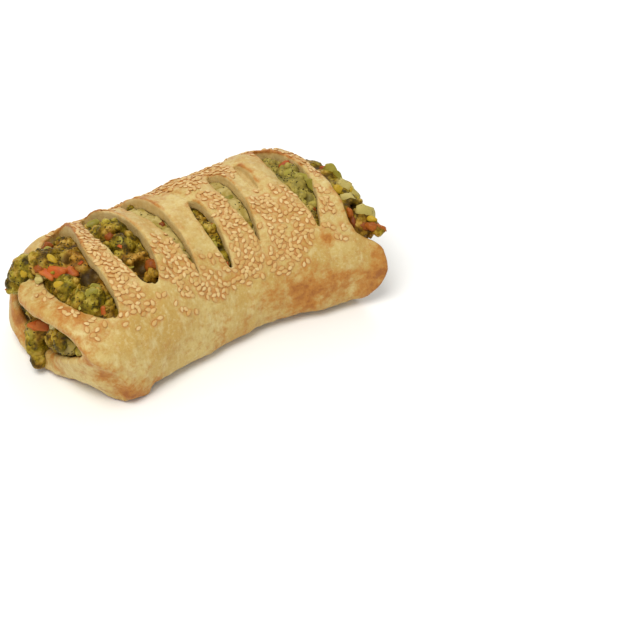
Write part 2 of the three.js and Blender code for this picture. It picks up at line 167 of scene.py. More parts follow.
def slitField(x, y):  # negative inside a slit, seen from above; which side of it a place is on, and which slit
    best = np.full(np.broadcast(x, y).shape, 99.0)
    side = np.zeros_like(best)
    which = np.zeros_like(best)
    for i, slit in enumerate(slits):
        middle, half = slitAt(slit, y)
        past = np.maximum(np.maximum(slit[1] - y, y - slit[3]), 0)
        across = np.abs(x - middle) - half
        away = np.hypot(np.maximum(across, 0), past) + np.minimum(across, 0) * (past == 0)
        side = np.where(away < best, np.sign(x - middle) * np.minimum(half / knife["free"], 1), side)
        which = np.where(away < best, i, which)
        best = np.minimum(best, away)
    return best, side, which


def stripRelief(x, y):  # how high the strips stand over the plain section
    height = np.full(np.broadcast(x, y).shape, float(loaf["puff"]))
    edge = loaf["edge"]
    for slit in slits:
        middle, half = slitAt(slit, y)
        right = x - middle - half
        left = middle - half - x
        opened = np.minimum(half / knife["free"], 1)
        rise = opened * slit[7] * (1 - np.maximum(right, 0) / edge)
        fall = opened * loaf["puff"] * (1 - np.maximum(left, 0) / edge)
        height += np.where((right > -half) & (right < edge), rise, 0)
        height -= np.where((left > -half) & (left < edge), fall, 0)
    flapX, flapY, reachX, reachY, rise = loaf["flap"]
    return height + rise * np.exp(-(((x - flapX) / reachX) ** 2 + ((y - flapY) / reachY) ** 2) ** 1.5)


def sectionAt(x, y, z):  # angle and steepness round the belly line, and how far outside the plain section
    dy = y - station(1, x)
    dz = z - loaf["belly"]
    r = np.hypot(dy, dz) + 1e-6
    reach = np.where(dz > 0, station(3, x) - loaf["belly"], loaf["belly"])
    power = np.where(dz > 0, loaf["crownPower"], loaf["basePower"])
    share = ((np.abs(dy) / station(2, x)) ** power + (np.abs(dz) / reach) ** power) ** (1 / power)
    return np.degrees(np.arctan2(dy, dz)), dz / r, r - r / np.maximum(share, 1e-3)


def crownAt(up):  # 0 at the sides, 1 where the strips puff up
    return smoothStep(up, 0.2, 0.7)


def slopeOf(f):  # how fast a field grows, which turns it to about mm
    fx, fy, fz = np.gradient(f, step)
    return np.clip(np.sqrt(fx * fx + fy * fy + fz * fz), 0.5, 6)


def wallAt(up):  # how thick the sheet is
    top = loaf["sideWall"] + (loaf["topWall"] - loaf["sideWall"]) * up
    base = loaf["sideWall"] + (loaf["baseWall"] - loaf["sideWall"]) * smoothStep(-up, 0, 0.4)
    return np.where(up > 0, top, base)


def alongCurve(points, count):  # smooth curve through points
    points = np.asarray(points, float)
    t = np.arange(len(points))
    at = np.linspace(0, len(points) - 1, count)
    return np.stack([through(list(zip(t, points[:, c])), at) for c in range(3)], -1)


def rod(x, y, z, a, b, thickA, thickB):  # distance to a rod between two places
    a, b = np.asarray(a, float), np.asarray(b, float)
    ab = b - a
    h = np.clip(((x - a[0]) * ab[0] + (y - a[1]) * ab[1] + (z - a[2]) * ab[2]) / (ab @ ab), 0, 1)
    away = np.sqrt((x - a[0] - h * ab[0]) ** 2 + (y - a[1] - h * ab[1]) ** 2 + (z - a[2] - h * ab[2]) ** 2)
    return away - thickA - (thickB - thickA) * h


def lipField(x, y, z):  # the turned-up edge in front of the filling: a row of upright bent rods
    count = loaf["lipRods"]
    foot = alongCurve(loaf["lipFoot"], count)
    top = alongCurve(loaf["lipTop"], count)
    along = np.gradient(foot, axis=0)
    best = np.full(np.broadcast(x, y, z).shape, loaf["lipReach"], np.float32)
    for i in range(count):
        ease = 1 - 0.2 * (2 * i / count - 1) ** 4  # blunt at the far corner, thin at the near one
        if i < count / 2:
            ease = math.sin(max(i / (count - 1) * math.pi, 0.02)) ** 0.2
        low, high = loaf["lipHalf"] * ease, loaf["lipThin"] * ease
        outward = np.array([-along[i][1], along[i][0], 0]) / np.linalg.norm(along[i])
        b = top[i] - (0, 0, high)
        bend = (foot[i] + b) / 2 + outward * loaf["lipBulge"] * ease
        near = (np.abs(y - bend[1]) < loaf["lipReach"]).ravel()
        lower = rod(x, y[:, near, :], z, foot[i], bend, low, (low + high) / 2)
        upper = rod(x, y[:, near, :], z, bend, b, (low + high) / 2, high)
        best[:, near, :] = np.minimum(best[:, near, :], np.minimum(lower, upper))
    return best


axes = [np.arange(lo, hi, step) for lo, hi in zip(field["low"], field["high"])]
gx, gy, gz = axes[0][:, None, None], axes[1][None, :, None], axes[2][None, None, :]
full = tuple(len(a) for a in axes)

angle, up, plain = [np.broadcast_to(v, full).astype(np.float32) for v in sectionAt(gx, gy, gz)]
relief = stripRelief(gx[:, :, 0], gy[:, :, 0])[:, :, None].astype(np.float32)
cutPlan = slitField(gx[:, :, 0], gy[:, :, 0])[0]
wave = loaf["wrinkle"] * (np.sin(gx * 0.11 + angle * 0.035) + np.sin(gx * 0.057 - angle * 0.061 + 1.3)
                          + 0.5 * np.sin(gx * 0.29 + angle * 0.083 + 2.1))
outer = plain - crownAt(up) * (relief - loaf["puff"]) - smoothStep(up, -0.9, -0.2) * wave
outer = (outer / slopeOf(outer)).astype(np.float32)
inner = ((plain + wallAt(up)) / slopeOf(plain)).astype(np.float32)
leftEnd = rimAt(loaf["leftRim"], angle).astype(np.float32) - gx
rightEnd = gx - rimAt(loaf["rightRim"], angle).astype(np.float32)
leftEnd = leftEnd / slopeOf(leftEnd)
rightEnd = rightEnd / slopeOf(rightEnd)
print("section field", full)


def cellsNear(low, high):  # the grid's cells between two corners, and their places
    here = tuple(slice(*np.searchsorted(line, span)) for line, span in zip(axes, zip(low, high)))
    return here, gx[here[0]], gy[:, here[1]], gz[:, :, here[2]]


rounded = loaf["rounded"]
crust = softMax(outer, loaf["rest"] - gz, rounded["foot"])
crust = softMax(crust, leftEnd, rounded["leftRim"])
crust = softMax(crust, rightEnd, rounded["rightRim"])
crust = softMax(crust, -np.maximum(inner, loaf["baseWall"] - gz), rounded["hollow"])
lipCells = axes[0] < -44
crust[lipCells] = softMin(crust[lipCells], lipField(gx[lipCells], gy, gz), rounded["lip"])
for a, b, depth, width in loaf["folds"]:
    here, x, y, z = cellsNear(np.minimum(a, b) - 5, np.maximum(a, b) + 5)
    crust[here] += depth * np.exp(-(rod(x, y, z, a, b, 0, 0) / width) ** 2)
crust = softMax(crust, loaf["rest"] - gz, rounded["folds"])
floors = np.array([slit[9] for slit in slits])[slitField(gx[:, :, 0], gy[:, :, 0])[2].astype(int)]
cut = np.maximum(cutPlan[:, :, None] + knife["taper"] * (knife["top"] - gz), floors[:, :, None] - gz)
crust = softMax(crust, -cut, rounded["cuts"])
# Broad swells, lumps and blisters in the baked skin, rougher low down
crust += loaf["shrink"] - 0.5 * lumps(gx, gy, gz, 19, 6) - 0.42 * lumps(gx, gy, gz, 9, 3)
crust -= 0.28 * lumps(gx, gy, gz * 0.6, 4.2, 4)
crust -= (0.14 + 0.2 * smoothStep(-gz, -9, -3)) * lumps(gx, gy, gz, 2.3, 5)
crust = np.maximum(crust, loaf["rest"] - gz)
# Nothing stands out of the solids' box
boxLow, boxHigh = [np.array(corner) * 1000 - toRow + inset for corner, inset in zip(cadBox, (0.1, -0.1))]
walls = np.maximum(np.maximum(boxLow[0] - gx, gx - boxHigh[0]), np.maximum(boxLow[1] - gy, gy - boxHigh[1]))
walls = np.maximum(walls, gz - boxHigh[2])
crust = np.maximum(crust, walls).astype(np.float32)
print("crust field")

# The filling's own core: follows the hollow, swells in the slits and at both ends
heap = dict(
    depth=4, setBack=4, bulge=8, leftMiddle=-72, rightMiddle=68, endRound=5, footRound=2, swellRound=3,
    shrink=0.4, pits=2.2, clear=0.25,
    # radius and middle of what swells out of the core, mm
    swells=[(7.5, -69, 9, 47), (7, -75, 15, 45), (6.5, -78.5, 16, 41), (5, -81, 17, 37), (8.6, -61.5, -20, 41.6),
            (7, -66, -8, 44), (6, -66, 3, 47.5), (6.5, -58, 6, 47), (6.5, -77, 4, 18), (5.5, -81.4, 1, 12),
            (4.2, -82.6, -2, 6.6), (5, -76, 10, 26), (5, -75, -8, 23), (6, -73, -20, 26), (6, -74.5, 19, 24),
            (6, -75, 28, 30), (8, -34, 14, 48), (7, -34, 2, 49), (5, -34, -11, 47), (4.5, -31, -20, 44),
            (5, 5, -5, 47.5), (6, 58.5, 10, 50), (6, 57.5, 1, 49), (5, 56, 20, 49), (7, 76, 4, 43),
            (7.5, 75, 16, 42), (7, 77, -7, 42), (5.5, 78.5, -17, 39), (7.5, 75.5, -25, 36), (4.6, 79, -31, 38),
            (5.5, 75, 28, 35), (7, 75, -14, 27), (8, 74, 12, 27), (7, 75, -2, 20), (5.6, -76.5, -14, 23.5),
            (5.4, -74, -23, 26), (4, -72, -31, 28), (4.6, 79, -10, 42), (4.4, 78, 3, 45.5), (3, 79.5, -37, 37),
            (5, 77, -18, 41)],
    # hollows between the lumps, which the mash's colour darkens with painted shade: middle, reach, depth
    hollows=[(-61, 5.6, 49.8, 2.5, 12), (-57.3, -8.8, 46.6, 3, 13), (-33.4, -14.2, 46.8, 2.9, 13),
             (57, -10, 48.8, 1.8, 6), (-39, 9, 52, 2, 3), (-70, -7, 49, 2.4, 4), (-76, -22, 27, 2.6, 4),
             (75.5, -20, 42, 2.2, 4), (76, 10, 38, 3, 4)],
    # where the heat turned the sauce amber: middle, reach
    warm=[(-57.8, 3.7, 51, 7), (-51.4, -2, 48, 6), (-53, -12, 47.4, 5), (-73, 5, 49, 3.5), (-33, -12, 49, 7),
          (-31, -21, 45, 6), (-38, 8, 52, 4), (-78, -8, 24, 7), (-77.5, -16, 28, 4), (74, -30, 39, 6),
          (73, -22, 43, 3.5), (-62, 22, 44, 8)],
)


def tumble(x, y, z):  # how the mash stands proud or sinks, mm
    return 1.2 * lumps(x, y, z, 6, 11) + 0.8 * lumps(x, y, z, 3, 12) + 0.25 * lumps(x, y, z, 1.6, 13)


back = np.maximum(rimAt(loaf["leftRim"], angle) + heap["setBack"], heap["leftMiddle"] - heap["setBack"])
front = heap["rightMiddle"] + heap["setBack"] + heap["bulge"] * np.maximum(up, 0)
core = softMax((plain + heap["depth"]) / slopeOf(plain), back - gx, heap["endRound"])
core = softMax(core, gx - front, heap["endRound"])
core = softMax(core, loaf["baseWall"] + 0.3 - gz, heap["footRound"])
for radius, cx, cy, cz in heap["swells"]:
    middle = np.array((cx, cy, cz))
    here, x, y, z = cellsNear(middle - radius - 4, middle + radius + 4)
    away = np.sqrt((x - cx) ** 2 + (y - cy) ** 2 + (z - cz) ** 2)
    core[here] = softMin(core[here], away - radius * 0.9, heap["swellRound"])
core += heap["shrink"] - tumble(gx, gy, gz) + heap["pits"] * smoothStep(lumps(gx, gy, gz, 5.2, 14), 0.3, 0.7)
for cx, cy, cz, reach, depth in heap["hollows"]:
    middle = np.array((cx, cy, cz))
    here, x, y, z = cellsNear(middle - 2.5 * reach, middle + 2.5 * reach)
    core[here] += depth * np.exp(-((x - cx) ** 2 + (y - cy) ** 2 + (z - cz) ** 2) / reach ** 2)
core = np.maximum(np.maximum(core, heap["clear"] - crust), walls).astype(np.float32)
print("filling field")


def triangleMesh(name, points, triangles):  # points in mm on the loaf's axes
    mesh = bpy.data.meshes.new(name)
    mesh.vertices.add(len(points))
    mesh.vertices.foreach_set("co", ((points + toRow) * 0.001).astype(np.float32).ravel())
    mesh.loops.add(len(triangles) * 3)
    mesh.loops.foreach_set("vertex_index", triangles.astype(np.int32).ravel())
    mesh.polygons.add(len(triangles))
    mesh.polygons.foreach_set("loop_start", np.arange(0, len(triangles) * 3, 3, dtype=np.int32))
    mesh.polygons.foreach_set("use_smooth", np.full(len(triangles), True))
    mesh.update(calc_edges=True)
    mesh.validate()
    thing = bpy.data.objects.new(name, mesh)
    bpy.context.scene.collection.objects.link(thing)
    return thing


def surfaceOf(name, values, most):  # the zero surface of a field as an object of at most that many triangles
    band = 3.0  # mm on either side of the surface
    grid = openvdb.FloatGrid(band)
    grid.copyFromArray(np.ascontiguousarray(np.clip(values, -band, band), np.float32))
    points, triangles, quads = grid.convertToPolygons(0.0, 0.0)
    points = points.astype(float) * step + np.array(field["low"])
    faces = np.vstack([triangles.reshape(-1, 3), quads[:, [0, 1, 2]], quads[:, [0, 2, 3]]]).astype(np.int64)
    corners = points[faces]
    volume = np.einsum("ij,ij->i", corners[:, 0], np.cross(corners[:, 1], corners[:, 2])).sum() / 6
    if volume < 0:
        faces = faces[:, ::-1]
    thing = triangleMesh(name, points, largestPart(len(points), faces))
    if len(thing.data.polygons) > most:
        thinner = thing.modifiers.new("thinner", "DECIMATE")
        thinner.ratio = most / len(thing.data.polygons)
        applyAll(thing)
    places = (np.maximum(placesOf(thing)[0], (-999, -999, loaf["rest"])) + toRow) * 0.001
    thing.data.vertices.foreach_set("co", places.astype(np.float32).ravel())
    thing.data.update()
    return thing


def largestPart(count, faces):  # drops specks that don't touch the main body
    label = np.arange(count)
    while True:
        lowest = label[faces].min(axis=1)
        after = label.copy()
        np.minimum.at(after, faces.ravel(), np.repeat(lowest, 3))
        after = after[after]
        if (after == label).all():
            break
        label = after
    owner = label[faces[:, 0]]
    owners, counts = np.unique(owner, return_counts=True)
    return faces[owner == owners[np.argmax(counts)]]


def applyAll(thing):  # bakes the modifiers into the mesh
    graph = bpy.context.evaluated_depsgraph_get()
    made = bpy.data.meshes.new_from_object(thing.evaluated_get(graph))
    old = thing.data
    thing.modifiers.clear()
    thing.data = made
    bpy.data.meshes.remove(old)
    made.polygons.foreach_set("use_smooth", np.full(len(made.polygons), True))


def placesOf(thing):  # vertex places in mm on the loaf's axes, and normals
    count = len(thing.data.vertices)
    places = np.zeros(count * 3, np.float32)
    normals = np.zeros(count * 3, np.float32)
    thing.data.vertices.foreach_get("co", places)
    thing.data.vertices.foreach_get("normal", normals)
    return places.reshape(-1, 3).astype(float) * 1000 - toRow, normals.reshape(-1, 3).astype(float)


def paint(thing, name, values):  # a mark from 0 to 1 that the materials read
    layer = thing.data.attributes.new(name, "FLOAT", "POINT")
    layer.data.foreach_set("value", np.clip(values, 0, 1).astype(np.float32))


pastry = surfaceOf("puffPastry", crust, 190000)
mash = surfaceOf("vegetableMash", core, 140000)
print("pastry", len(pastry.data.polygons), "mash", len(mash.data.polygons), "triangles")


def treeOf(thing):  # what rays are cast at
    return BVHTree.FromObject(thing, bpy.context.evaluated_depsgraph_get())


def cast(tree, start, direction):  # first hit in mm on the loaf's axes, with its normal
    place, normal, _, _ = tree.ray_cast(Vector((np.asarray(start) + toRow) * 0.001), Vector(direction))
    if place is None:
        return None, None
    return np.array(place) * 1000 - toRow, np.array(normal)


# Unit shapes, about 1 in radius: points, triangles and, but for the plain ball, a mark that the material reads
def ball(level):
    made = bmesh.new()
    bmesh.ops.create_icosphere(made, subdivisions=level, radius=1)
    points = np.array([v.co[:] for v in made.verts])
    faces = np.array([[v.index for v in f.verts] for f in made.faces])
    made.free()
    return points, faces


balls = {level: ball(level) for level in (1, 2, 3, 4)}


def budded(level, lobeCount, budCount, budSize, seed):  # a floret: lobes, all over with round buds
    rng = np.random.default_rng(seed)
    points, faces = balls[level]
    lobes = rng.normal(size=(lobeCount, 3))
    lobes /= np.linalg.norm(lobes, axis=1, keepdims=True)
    closeness = (points @ lobes.T).max(axis=1)
    radius = 0.72 + 0.28 * smoothStep(closeness, 0.45, 0.95)
    buds = rng.normal(size=(budCount, 3))
    buds /= np.linalg.norm(buds, axis=1, keepdims=True)
    gap = np.sqrt(np.maximum(2 - 2 * (points @ buds.T).max(axis=1), 0))
    dome = np.sqrt(np.maximum(1 - (gap / budSize) ** 2, 0))
    return points * (radius + budSize * 0.32 * (dome - 0.5))[:, None], faces, 0.35 + 0.65 * dome


def faceted(level, sides, seed, stretch, soft):  # a knife-cut chunk: flat sides, slightly round edges
    rng = np.random.default_rng(seed)
    points, faces = balls[level]
    flats = np.array(sides, float) + rng.normal(scale=0.16, size=(len(sides), 3))
    reach = rng.uniform(0.82, 1.05, len(sides))
    flats /= np.linalg.norm(flats, axis=1, keepdims=True)
    lean = np.maximum(points @ flats.T, 1e-3) / reach
    radius = (lean ** soft).sum(axis=1) ** (-1 / soft)
    shaped = points * radius[:, None] * np.array(stretch)
    return shaped, faces, smoothStep(radius, 0.9, 1.3)


cubeSides = [(1, 0, 0), (-1, 0, 0), (0, 1, 0), (0, -1, 0), (0, 0, 1), (0, 0, -1)]
chunkSides = cubeSides + [(1, 1, 1), (-1, 1, -1), (1, -1, -1), (-1, -1, 1)]


def kernel(seed):  # sweetcorn: a flat wedge with a rounded crown and a dented middle
    points, faces = balls[3]
    x, y, z = points.T
    taper = 0.72 + 0.28 * x
    dent = 0.16 * np.exp(-((x - 0.4) ** 2 + y ** 2) / 0.12) * np.sign(z)
    shaped = np.stack([x, y * 0.82 * taper, z * 0.55 * (0.8 + 0.2 * x) - dent * 0.5], -1)
    shaped += 0.03 * np.stack([lumps(x * 3 + seed, y * 3, z * 3, 1, 21 + seed % 3)] * 3, -1) * points
    return shaped, faces, smoothStep(x, -0.9, -0.2)


def flake(level, seed, thin, curl=0.35):  # a bit of leek or herb: thin, curled, uneven outline
    rng = np.random.default_rng(seed)
    points, faces = balls[level]
    x, y, z = points.T
    turn = np.arctan2(y, x)
    outline = 1 + 0.08 * np.sin(2 * turn + rng.uniform(0, 6)) + 0.05 * np.sin(5 * turn + rng.uniform(0, 6))
    flat = np.stack([x * outline, y * outline * 0.62, z * thin + curl * (x * outline) ** 2 - curl * 0.3], -1)
    return flat, faces, smoothStep(np.hypot(x, y), 0.6, 1)


def crumbly(level, seed, depth, stretch=(1, 1, 1)):  # an uneven browned bit
    points, faces = balls[level]
    swell = lumps(points[:, 0] * 2 + seed * 5, points[:, 1] * 2, points[:, 2] * 2, 1, 31 + seed)
    swell += 0.5 * lumps(points[:, 0] * 5, points[:, 1] * 5 + seed * 3, points[:, 2] * 5, 1, 37 + seed)
    return points * (1 + depth * swell)[:, None] * stretch, faces, smoothStep(swell, -0.6, 0.9)


def worn(shape, seed):  # a cut shape with its faces cooked uneven
    points, faces, mark = shape
    swell = lumps(points[:, 0] * 2.4 + seed, points[:, 1] * 2.4, points[:, 2] * 2.4, 1, 51 + seed % 7)
    swell += 0.5 * lumps(points[:, 0] * 6 + seed, points[:, 1] * 6, points[:, 2] * 6, 1, 58 + seed % 7)
    return points * (1 + 0.17 * swell)[:, None], faces, mark


def turnTo(normal, spin, tilt=(0, 0)):  # axes whose third follows the normal
    n = np.asarray(normal, float) + 1e-9
    n = n / np.linalg.norm(n)
    side = np.cross(n, (0.0, 0.0, 1.0) if abs(n[2]) < 0.9 else (1.0, 0.0, 0.0))
    side /= np.linalg.norm(side)
    other = np.cross(n, side)
    a = math.cos(spin) * side + math.sin(spin) * other
    n = n + tilt[0] * side + tilt[1] * other
    n /= np.linalg.norm(n)
    b = np.cross(n, a)
    b /= np.linalg.norm(b)
    return np.stack([np.cross(b, n), b, n])  # rows


def joined(name, shapes, placed):  # placed: (which shape, size, axes, middle, tone)
    points, faces, marks, tones = [], [], [], []
    count = 0
    for which, size, turn, at, tone in placed:
        p, f, mark = shapes[which % len(shapes)]
        bit = (p * size) @ turn + at
        bit += np.maximum(boxLow - bit.min(axis=0), 0) - np.maximum(bit.max(axis=0) - boxHigh, 0)
        points.append(bit)
        faces.append(f + count)
        marks.append(mark)
        tones.append(np.full(len(p), tone))
        count += len(p)
    thing = triangleMesh(name, np.vstack(points), np.vstack(faces))
    paint(thing, "mark", np.concatenate(marks))
    paint(thing, "tone", np.concatenate(tones))
    print(name, len(placed), "bits,", len(thing.data.polygons), "triangles")
    return thing


overhead = 70  # mm, where rays that look down start

# Sesame: where it was sown, as x, y, reach along x and y, and how thick
sesame = dict(
    size=(1.6, 1.12, 0.42), count=690, tries=60000,
    acrossX=(-80, 70), acrossY=(-42, 50), patchCore=0.6, patchFade=1.4, contrast=1.3,
    # mm: least distance to the next seed and to a slit, lowest place, how deep a seed sits
    closest=1.6, slitEdge=1.3, lowest=30, sink=0.3,
    steepest=0.25, tilt=0.1, haloFrom=1.1, haloFade=0.75, haloLow=28,
    sown=[(-49, 12, 7, 20, 1.0), (-49, -14, 7, 13, 1.0), (-50, -29, 9, 7, 0.95), (-42, -33, 7, 5, 0.5),
          (-73, -3, 4, 8, 0.6), (-70, -20, 4, 8, 0.35), (-66, -34, 5, 5, 0.35), (-33, 33, 6, 5, 0.8),
          (-20, -13, 5, 7, 0.9), (-20, -26, 7, 9, 0.9), (-26, -33, 7, 5, 0.4), (-10, 38, 7, 7, 0.6),
          (1, 30, 7, 6, 0.7), (-8, -31, 8, 7, 0.8), (0, -28, 5, 6, 0.4), (12, 26, 6, 8, 0.8),
          (14, 4, 6, 8, 0.6), (15, -12, 6, 9, 1.0), (13, -25, 8, 8, 1.0), (28, 26, 7, 8, 0.8),
          (34, -8, 6, 8, 0.8), (33, -21, 7, 7, 0.85), (36, -29, 9, 5, 1.0), (45, -9, 4, 8, 0.6),
          (46, -22, 5, 8, 0.7), (27, -29, 5, 5, 0.8), (61, -17, 4, 9, 0.5), (58, -31, 5, 5, 0.35),
          (66, 10, 4, 12, 0.6), (-25, 40, 8, 4, 0.6), (20, 42, 18, 5, 0.5), (-50, 36, 7, 6, 0.6),
          (58, 34, 9, 6, 0.5)],
)


def sowingAt(x, y):  # how thickly the seeds lie, 0 to 1
    thick = 0.0
    for cx, cy, rx, ry, most in sesame["sown"]:
        away = ((x - cx) / rx) ** 2 + ((y - cy) / ry) ** 2
        thick = max(thick, most * math.exp(-max(away - sesame["patchCore"], 0) * sesame["patchFade"]))
    return thick


def bead(rings, sides):  # a unit ball of few triangles, its poles along x
    turn = np.arange(sides) * 2 * math.pi / sides
    lean = np.arange(1, rings)[:, None] * math.pi / rings
    girdle = np.stack([np.cos(lean) + 0 * turn, np.sin(lean) * np.cos(turn), np.sin(lean) * np.sin(turn)], -1)
    points = np.vstack([[(1, 0, 0)], girdle.reshape(-1, 3), [(-1, 0, 0)]])
    faces, last = [], len(points) - 1
    for j in range(sides):
        k = (j + 1) % sides
        faces += [(0, 1 + j, 1 + k), (last, last - sides + k, last - sides + j)]
        for i in range(rings - 2):
            a, b = 1 + i * sides, 1 + (i + 1) * sides
            faces += [(a + j, b + j, b + k), (a + j, b + k, a + k)]
    return points, np.array(faces)


def sesameShape(seed):  # a drop: round at one end, pointed at the other
    rng = np.random.default_rng(seed)
    points, faces = bead(7, 10)
    x, y, z = points.T
    taper = 1 - 0.42 * smoothStep(x, -0.1, 1) * rng.uniform(0.8, 1.1)
    shaped = np.stack([x * 1.05, y * taper, z * taper], -1) * sesame["size"]
    return shaped, faces, smoothStep(z, 0.1, 0.75)


pastryTree = treeOf(pastry)
rng = np.random.default_rng(5)
seedPlaces = []
seedBits = []
tries = 0
while len(seedBits) < sesame["count"] and tries < sesame["tries"]:
    tries += 1
    x, y = rng.uniform(*sesame["acrossX"]), rng.uniform(*sesame["acrossY"])
    chance, spin, tone = rng.uniform(), rng.uniform(0, math.pi * 2), rng.uniform()
    tilt = rng.normal(scale=sesame["tilt"], size=2)
    if chance > sowingAt(x, y) ** sesame["contrast"]:
        continue
    if slitField(np.array(x), np.array(y))[0] < sesame["slitEdge"]:
        continue
    place, normal = cast(pastryTree, (x, y, overhead), (0, 0, -1))
    if place is None or place[2] < sesame["lowest"] or normal[2] < sesame["steepest"]:
        continue
    if seedPlaces and (((np.array(seedPlaces) - place) ** 2).sum(axis=1) < sesame["closest"] ** 2).any():
        continue
    seedPlaces.append(place)
    middle = place + normal * (sesame["size"][2] - sesame["sink"])
    seedBits.append((len(seedBits), 0.86 + 0.24 * tone, turnTo(normal, spin, tilt), middle, tone))
seedPlaces = np.array(seedPlaces)
sesameSeeds = joined("sesameSeeds", [sesameShape(k) for k in range(8)], seedBits)

# What shows of the filling: rays through the slits and the open ends find where bits lie
shown = dict(
    # of all looks, the share up to which they go through a slit, and up to which through the left end
    uptoSlits=0.42, uptoLeft=0.72,
    # how often each slit is looked through, and the share of its gap that is used
    bySlit=[0.3, 0.27, 0.02, 0.16, 0.01, 0.02, 0.22], acrossGap=0.9,
    # looks at an end: start and middle in mm, reach across and up, widest turn in degrees, lowest place
    start=95, middle=(3, 14), reach=(46, 40), turn=115, lowest=3,
    # a bit's lean, as a share, and how many reaches of a dark hollow stay free
    tilt=0.35, hollowFree=1.5,
)
towardsEye = (-0.42, -0.66, 0.62)
fillingTrees = [treeOf(mash)]
rng = np.random.default_rng(9)


def castFilling(start, direction):
    hits = [hit for hit in (cast(tree, start, direction) for tree in fillingTrees) if hit[0] is not None]
    return min(hits, key=lambda hit: math.dist(hit[0], start), default=(None, None))


def shownPlace():  # a random place of the filling that can be seen, its normal, and where it is
    pick = rng.uniform()
    if pick < shown["uptoSlits"]:
        slit = slits[rng.choice(len(slits), p=shown["bySlit"])]
        t = rng.uniform(0.05, 0.95)
        y = slit[1] + (slit[3] - slit[1]) * t
        middle, half = slitAt(slit, y)
        start = (middle + rng.uniform(-shown["acrossGap"], shown["acrossGap"]) * half, y, overhead)
        return *castFilling(start, (0, 0, -1)), "slit"
    left = pick < shown["uptoLeft"]
    turn = math.radians(rng.uniform(-shown["turn"], shown["turn"]))
    share = math.sqrt(rng.uniform())
    wide = shown["middle"][0] + share * shown["reach"][0] * math.sin(turn)
    high = shown["middle"][1] + share * shown["reach"][1] * math.cos(turn)
    start = (-shown["start"] if left else shown["start"], wide, max(high, shown["lowest"]))
    inward = (1 if left else -1, 0, 0)
    place, normal = castFilling(start, inward)
    if place is None:
        return None, None, ""
    hit, _ = cast(pastryTree, start, inward)
    if hit is not None and abs(hit[0] - start[0]) < abs(place[0] - start[0]):
        return None, None, ""
    return place, normal, "left" if left else "right"


# Strewn bits: sizes in mm; in shares of the size, how far the middle stands off and the least distance
def scatter(count, sizes, stand, closest, where="slit left right"):
    bits, taken = [], []
    tries = 0
    while len(bits) < count and tries < count * 30:
        tries += 1
        place, normal, part = shownPlace()
        size, spin, tone = rng.uniform(*sizes), rng.uniform(0, 6.28), rng.uniform()
        tilt = rng.normal(scale=shown["tilt"], size=2)
        if place is None or part not in where:
            continue
        if any(math.dist(place, hollow[:3]) < shown["hollowFree"] * hollow[3] for hollow in heap["hollows"]):
            continue
        if taken and (((np.array(taken) - place) ** 2).sum(axis=1) < (closest * size) ** 2).any():
            continue
        taken.append(place)
        bits.append((len(bits), size, turnTo(normal, spin, tilt), place + normal * size * stand, tone))
    return bits


def placed(rows, seed):  # bits at their own places; one with an angle turns its flat side to the eye
    local = np.random.default_rng(seed)
    bits = []
    for k, (size, x, y, z, *spin) in enumerate(rows):
        turn = turnTo(local.normal(size=3), local.uniform(0, 6.28))
        if spin:
            turn = turnTo(towardsEye + local.normal(scale=0.15, size=3), math.radians(spin[0]))
        bits.append((k, size, turn, np.array((x, y, z), float), local.uniform()))
    return bits


# Each vegetable that stands out: size and middle in mm
vegetables = dict(
    florets=[(7.6, -69, 9, 47), (7, -75, 15, 44.6), (6.2, -78.5, 15, 41), (5, -80.6, 17, 37),
             (8.4, -61.5, -20, 41.2), (7, -66, -8, 43.6), (6.5, -77, 4, 18), (5.4, -80.6, 1, 12),
             (4, -82.2, -2, 6.4), (6, -74, -20, 26), (8, -34, 14, 47), (7, -34, 2, 48), (5, 5, -5, 46.5),
             (6, 58, 4, 48.6), (7.2, 75, 16, 42), (7.2, 75.5, -25, 36), (8, 73.5, 12, 27), (6, -74.5, 19, 24)],
    # the rest face the eye, and have the angle at which they lie in the picture, in degrees
    carrots=[(3.7, -67.4, -1.4, 49, -8), (3, -63.2, -2.6, 47.8, 20), (2.5, -70.6, 0.4, 48.8, -30),
             (2.9, -79.4, 1.2, 23.4, 5), (2.6, -76.8, -1.4, 23.2, -15), (2.4, 59.2, 15, 53.4, 30),
             (2.4, -59.4, -26, 41.6, -10)],
    kernels=[(3.6, -67.1, 4.9, 51.9, -15), (3, -77.4, 10.8, 45.6, 30), (3.6, 74, -10.4, 47.6, -40),
             (3, -77.4, -16, 28.4, 80), (2.6, -70, -9, 48.6, 20), (2.6, 78.8, -31.4, 41.4, 0)],
    potatoes=[(3.4, 77.5, -8.4, 47.6, -30), (4, 80.2, -11.4, 44, -40), (3.2, 74.6, -16, 45.6, 10),
              (4, 78, -26, 41.4, -20), (2.2, -72.6, 4, 46.4, 0), (1.8, -74.6, 2.6, 45.8, 30),
              (5, 75, -14, 27, 0)],
    leeks=[(4.8, 78.5, 3.7, 49.2, -62), (3.6, 79.9, 0, 47.6, -60), (4.4, 60.4, 0.5, 53, -30),
           (3, 57.6, 8.4, 53.4, 20), (3.2, -61, -22.5, 49, 20), (2.6, -57.6, -19, 48.4, -20),
           (3.6, 61.6, -5.8, 52.4, -50), (3.2, 58.6, 13, 53, -10), (3, -37.8, 25.6, 48.8, 25),
           (2.4, -66, 12, 52.6, 30)],
    toasted=[(3.7, -28.8, -16, 46.6, -60), (2.2, -38.2, 6.4, 52.4, 0), (2.3, 74.2, -31, 38.8, -25),
             (2.6, 77.2, -34.2, 39.2, -15), (2.1, 79.8, -36.2, 38.8, -30), (2.2, 71.2, -24, 43, -65),
             (2, 70.4, -28, 40.6, -70), (2.4, -63, 18.8, 49.6, 0), (2, -73.6, 4.6, 50, 0),
             (1.8, -12.4, 6, 49.6, 0)],
)
florets = joined("broccoliFlorets", [budded(4, 9, 210, 0.17, k) for k in range(5)],
                 placed(vegetables["florets"], 41))
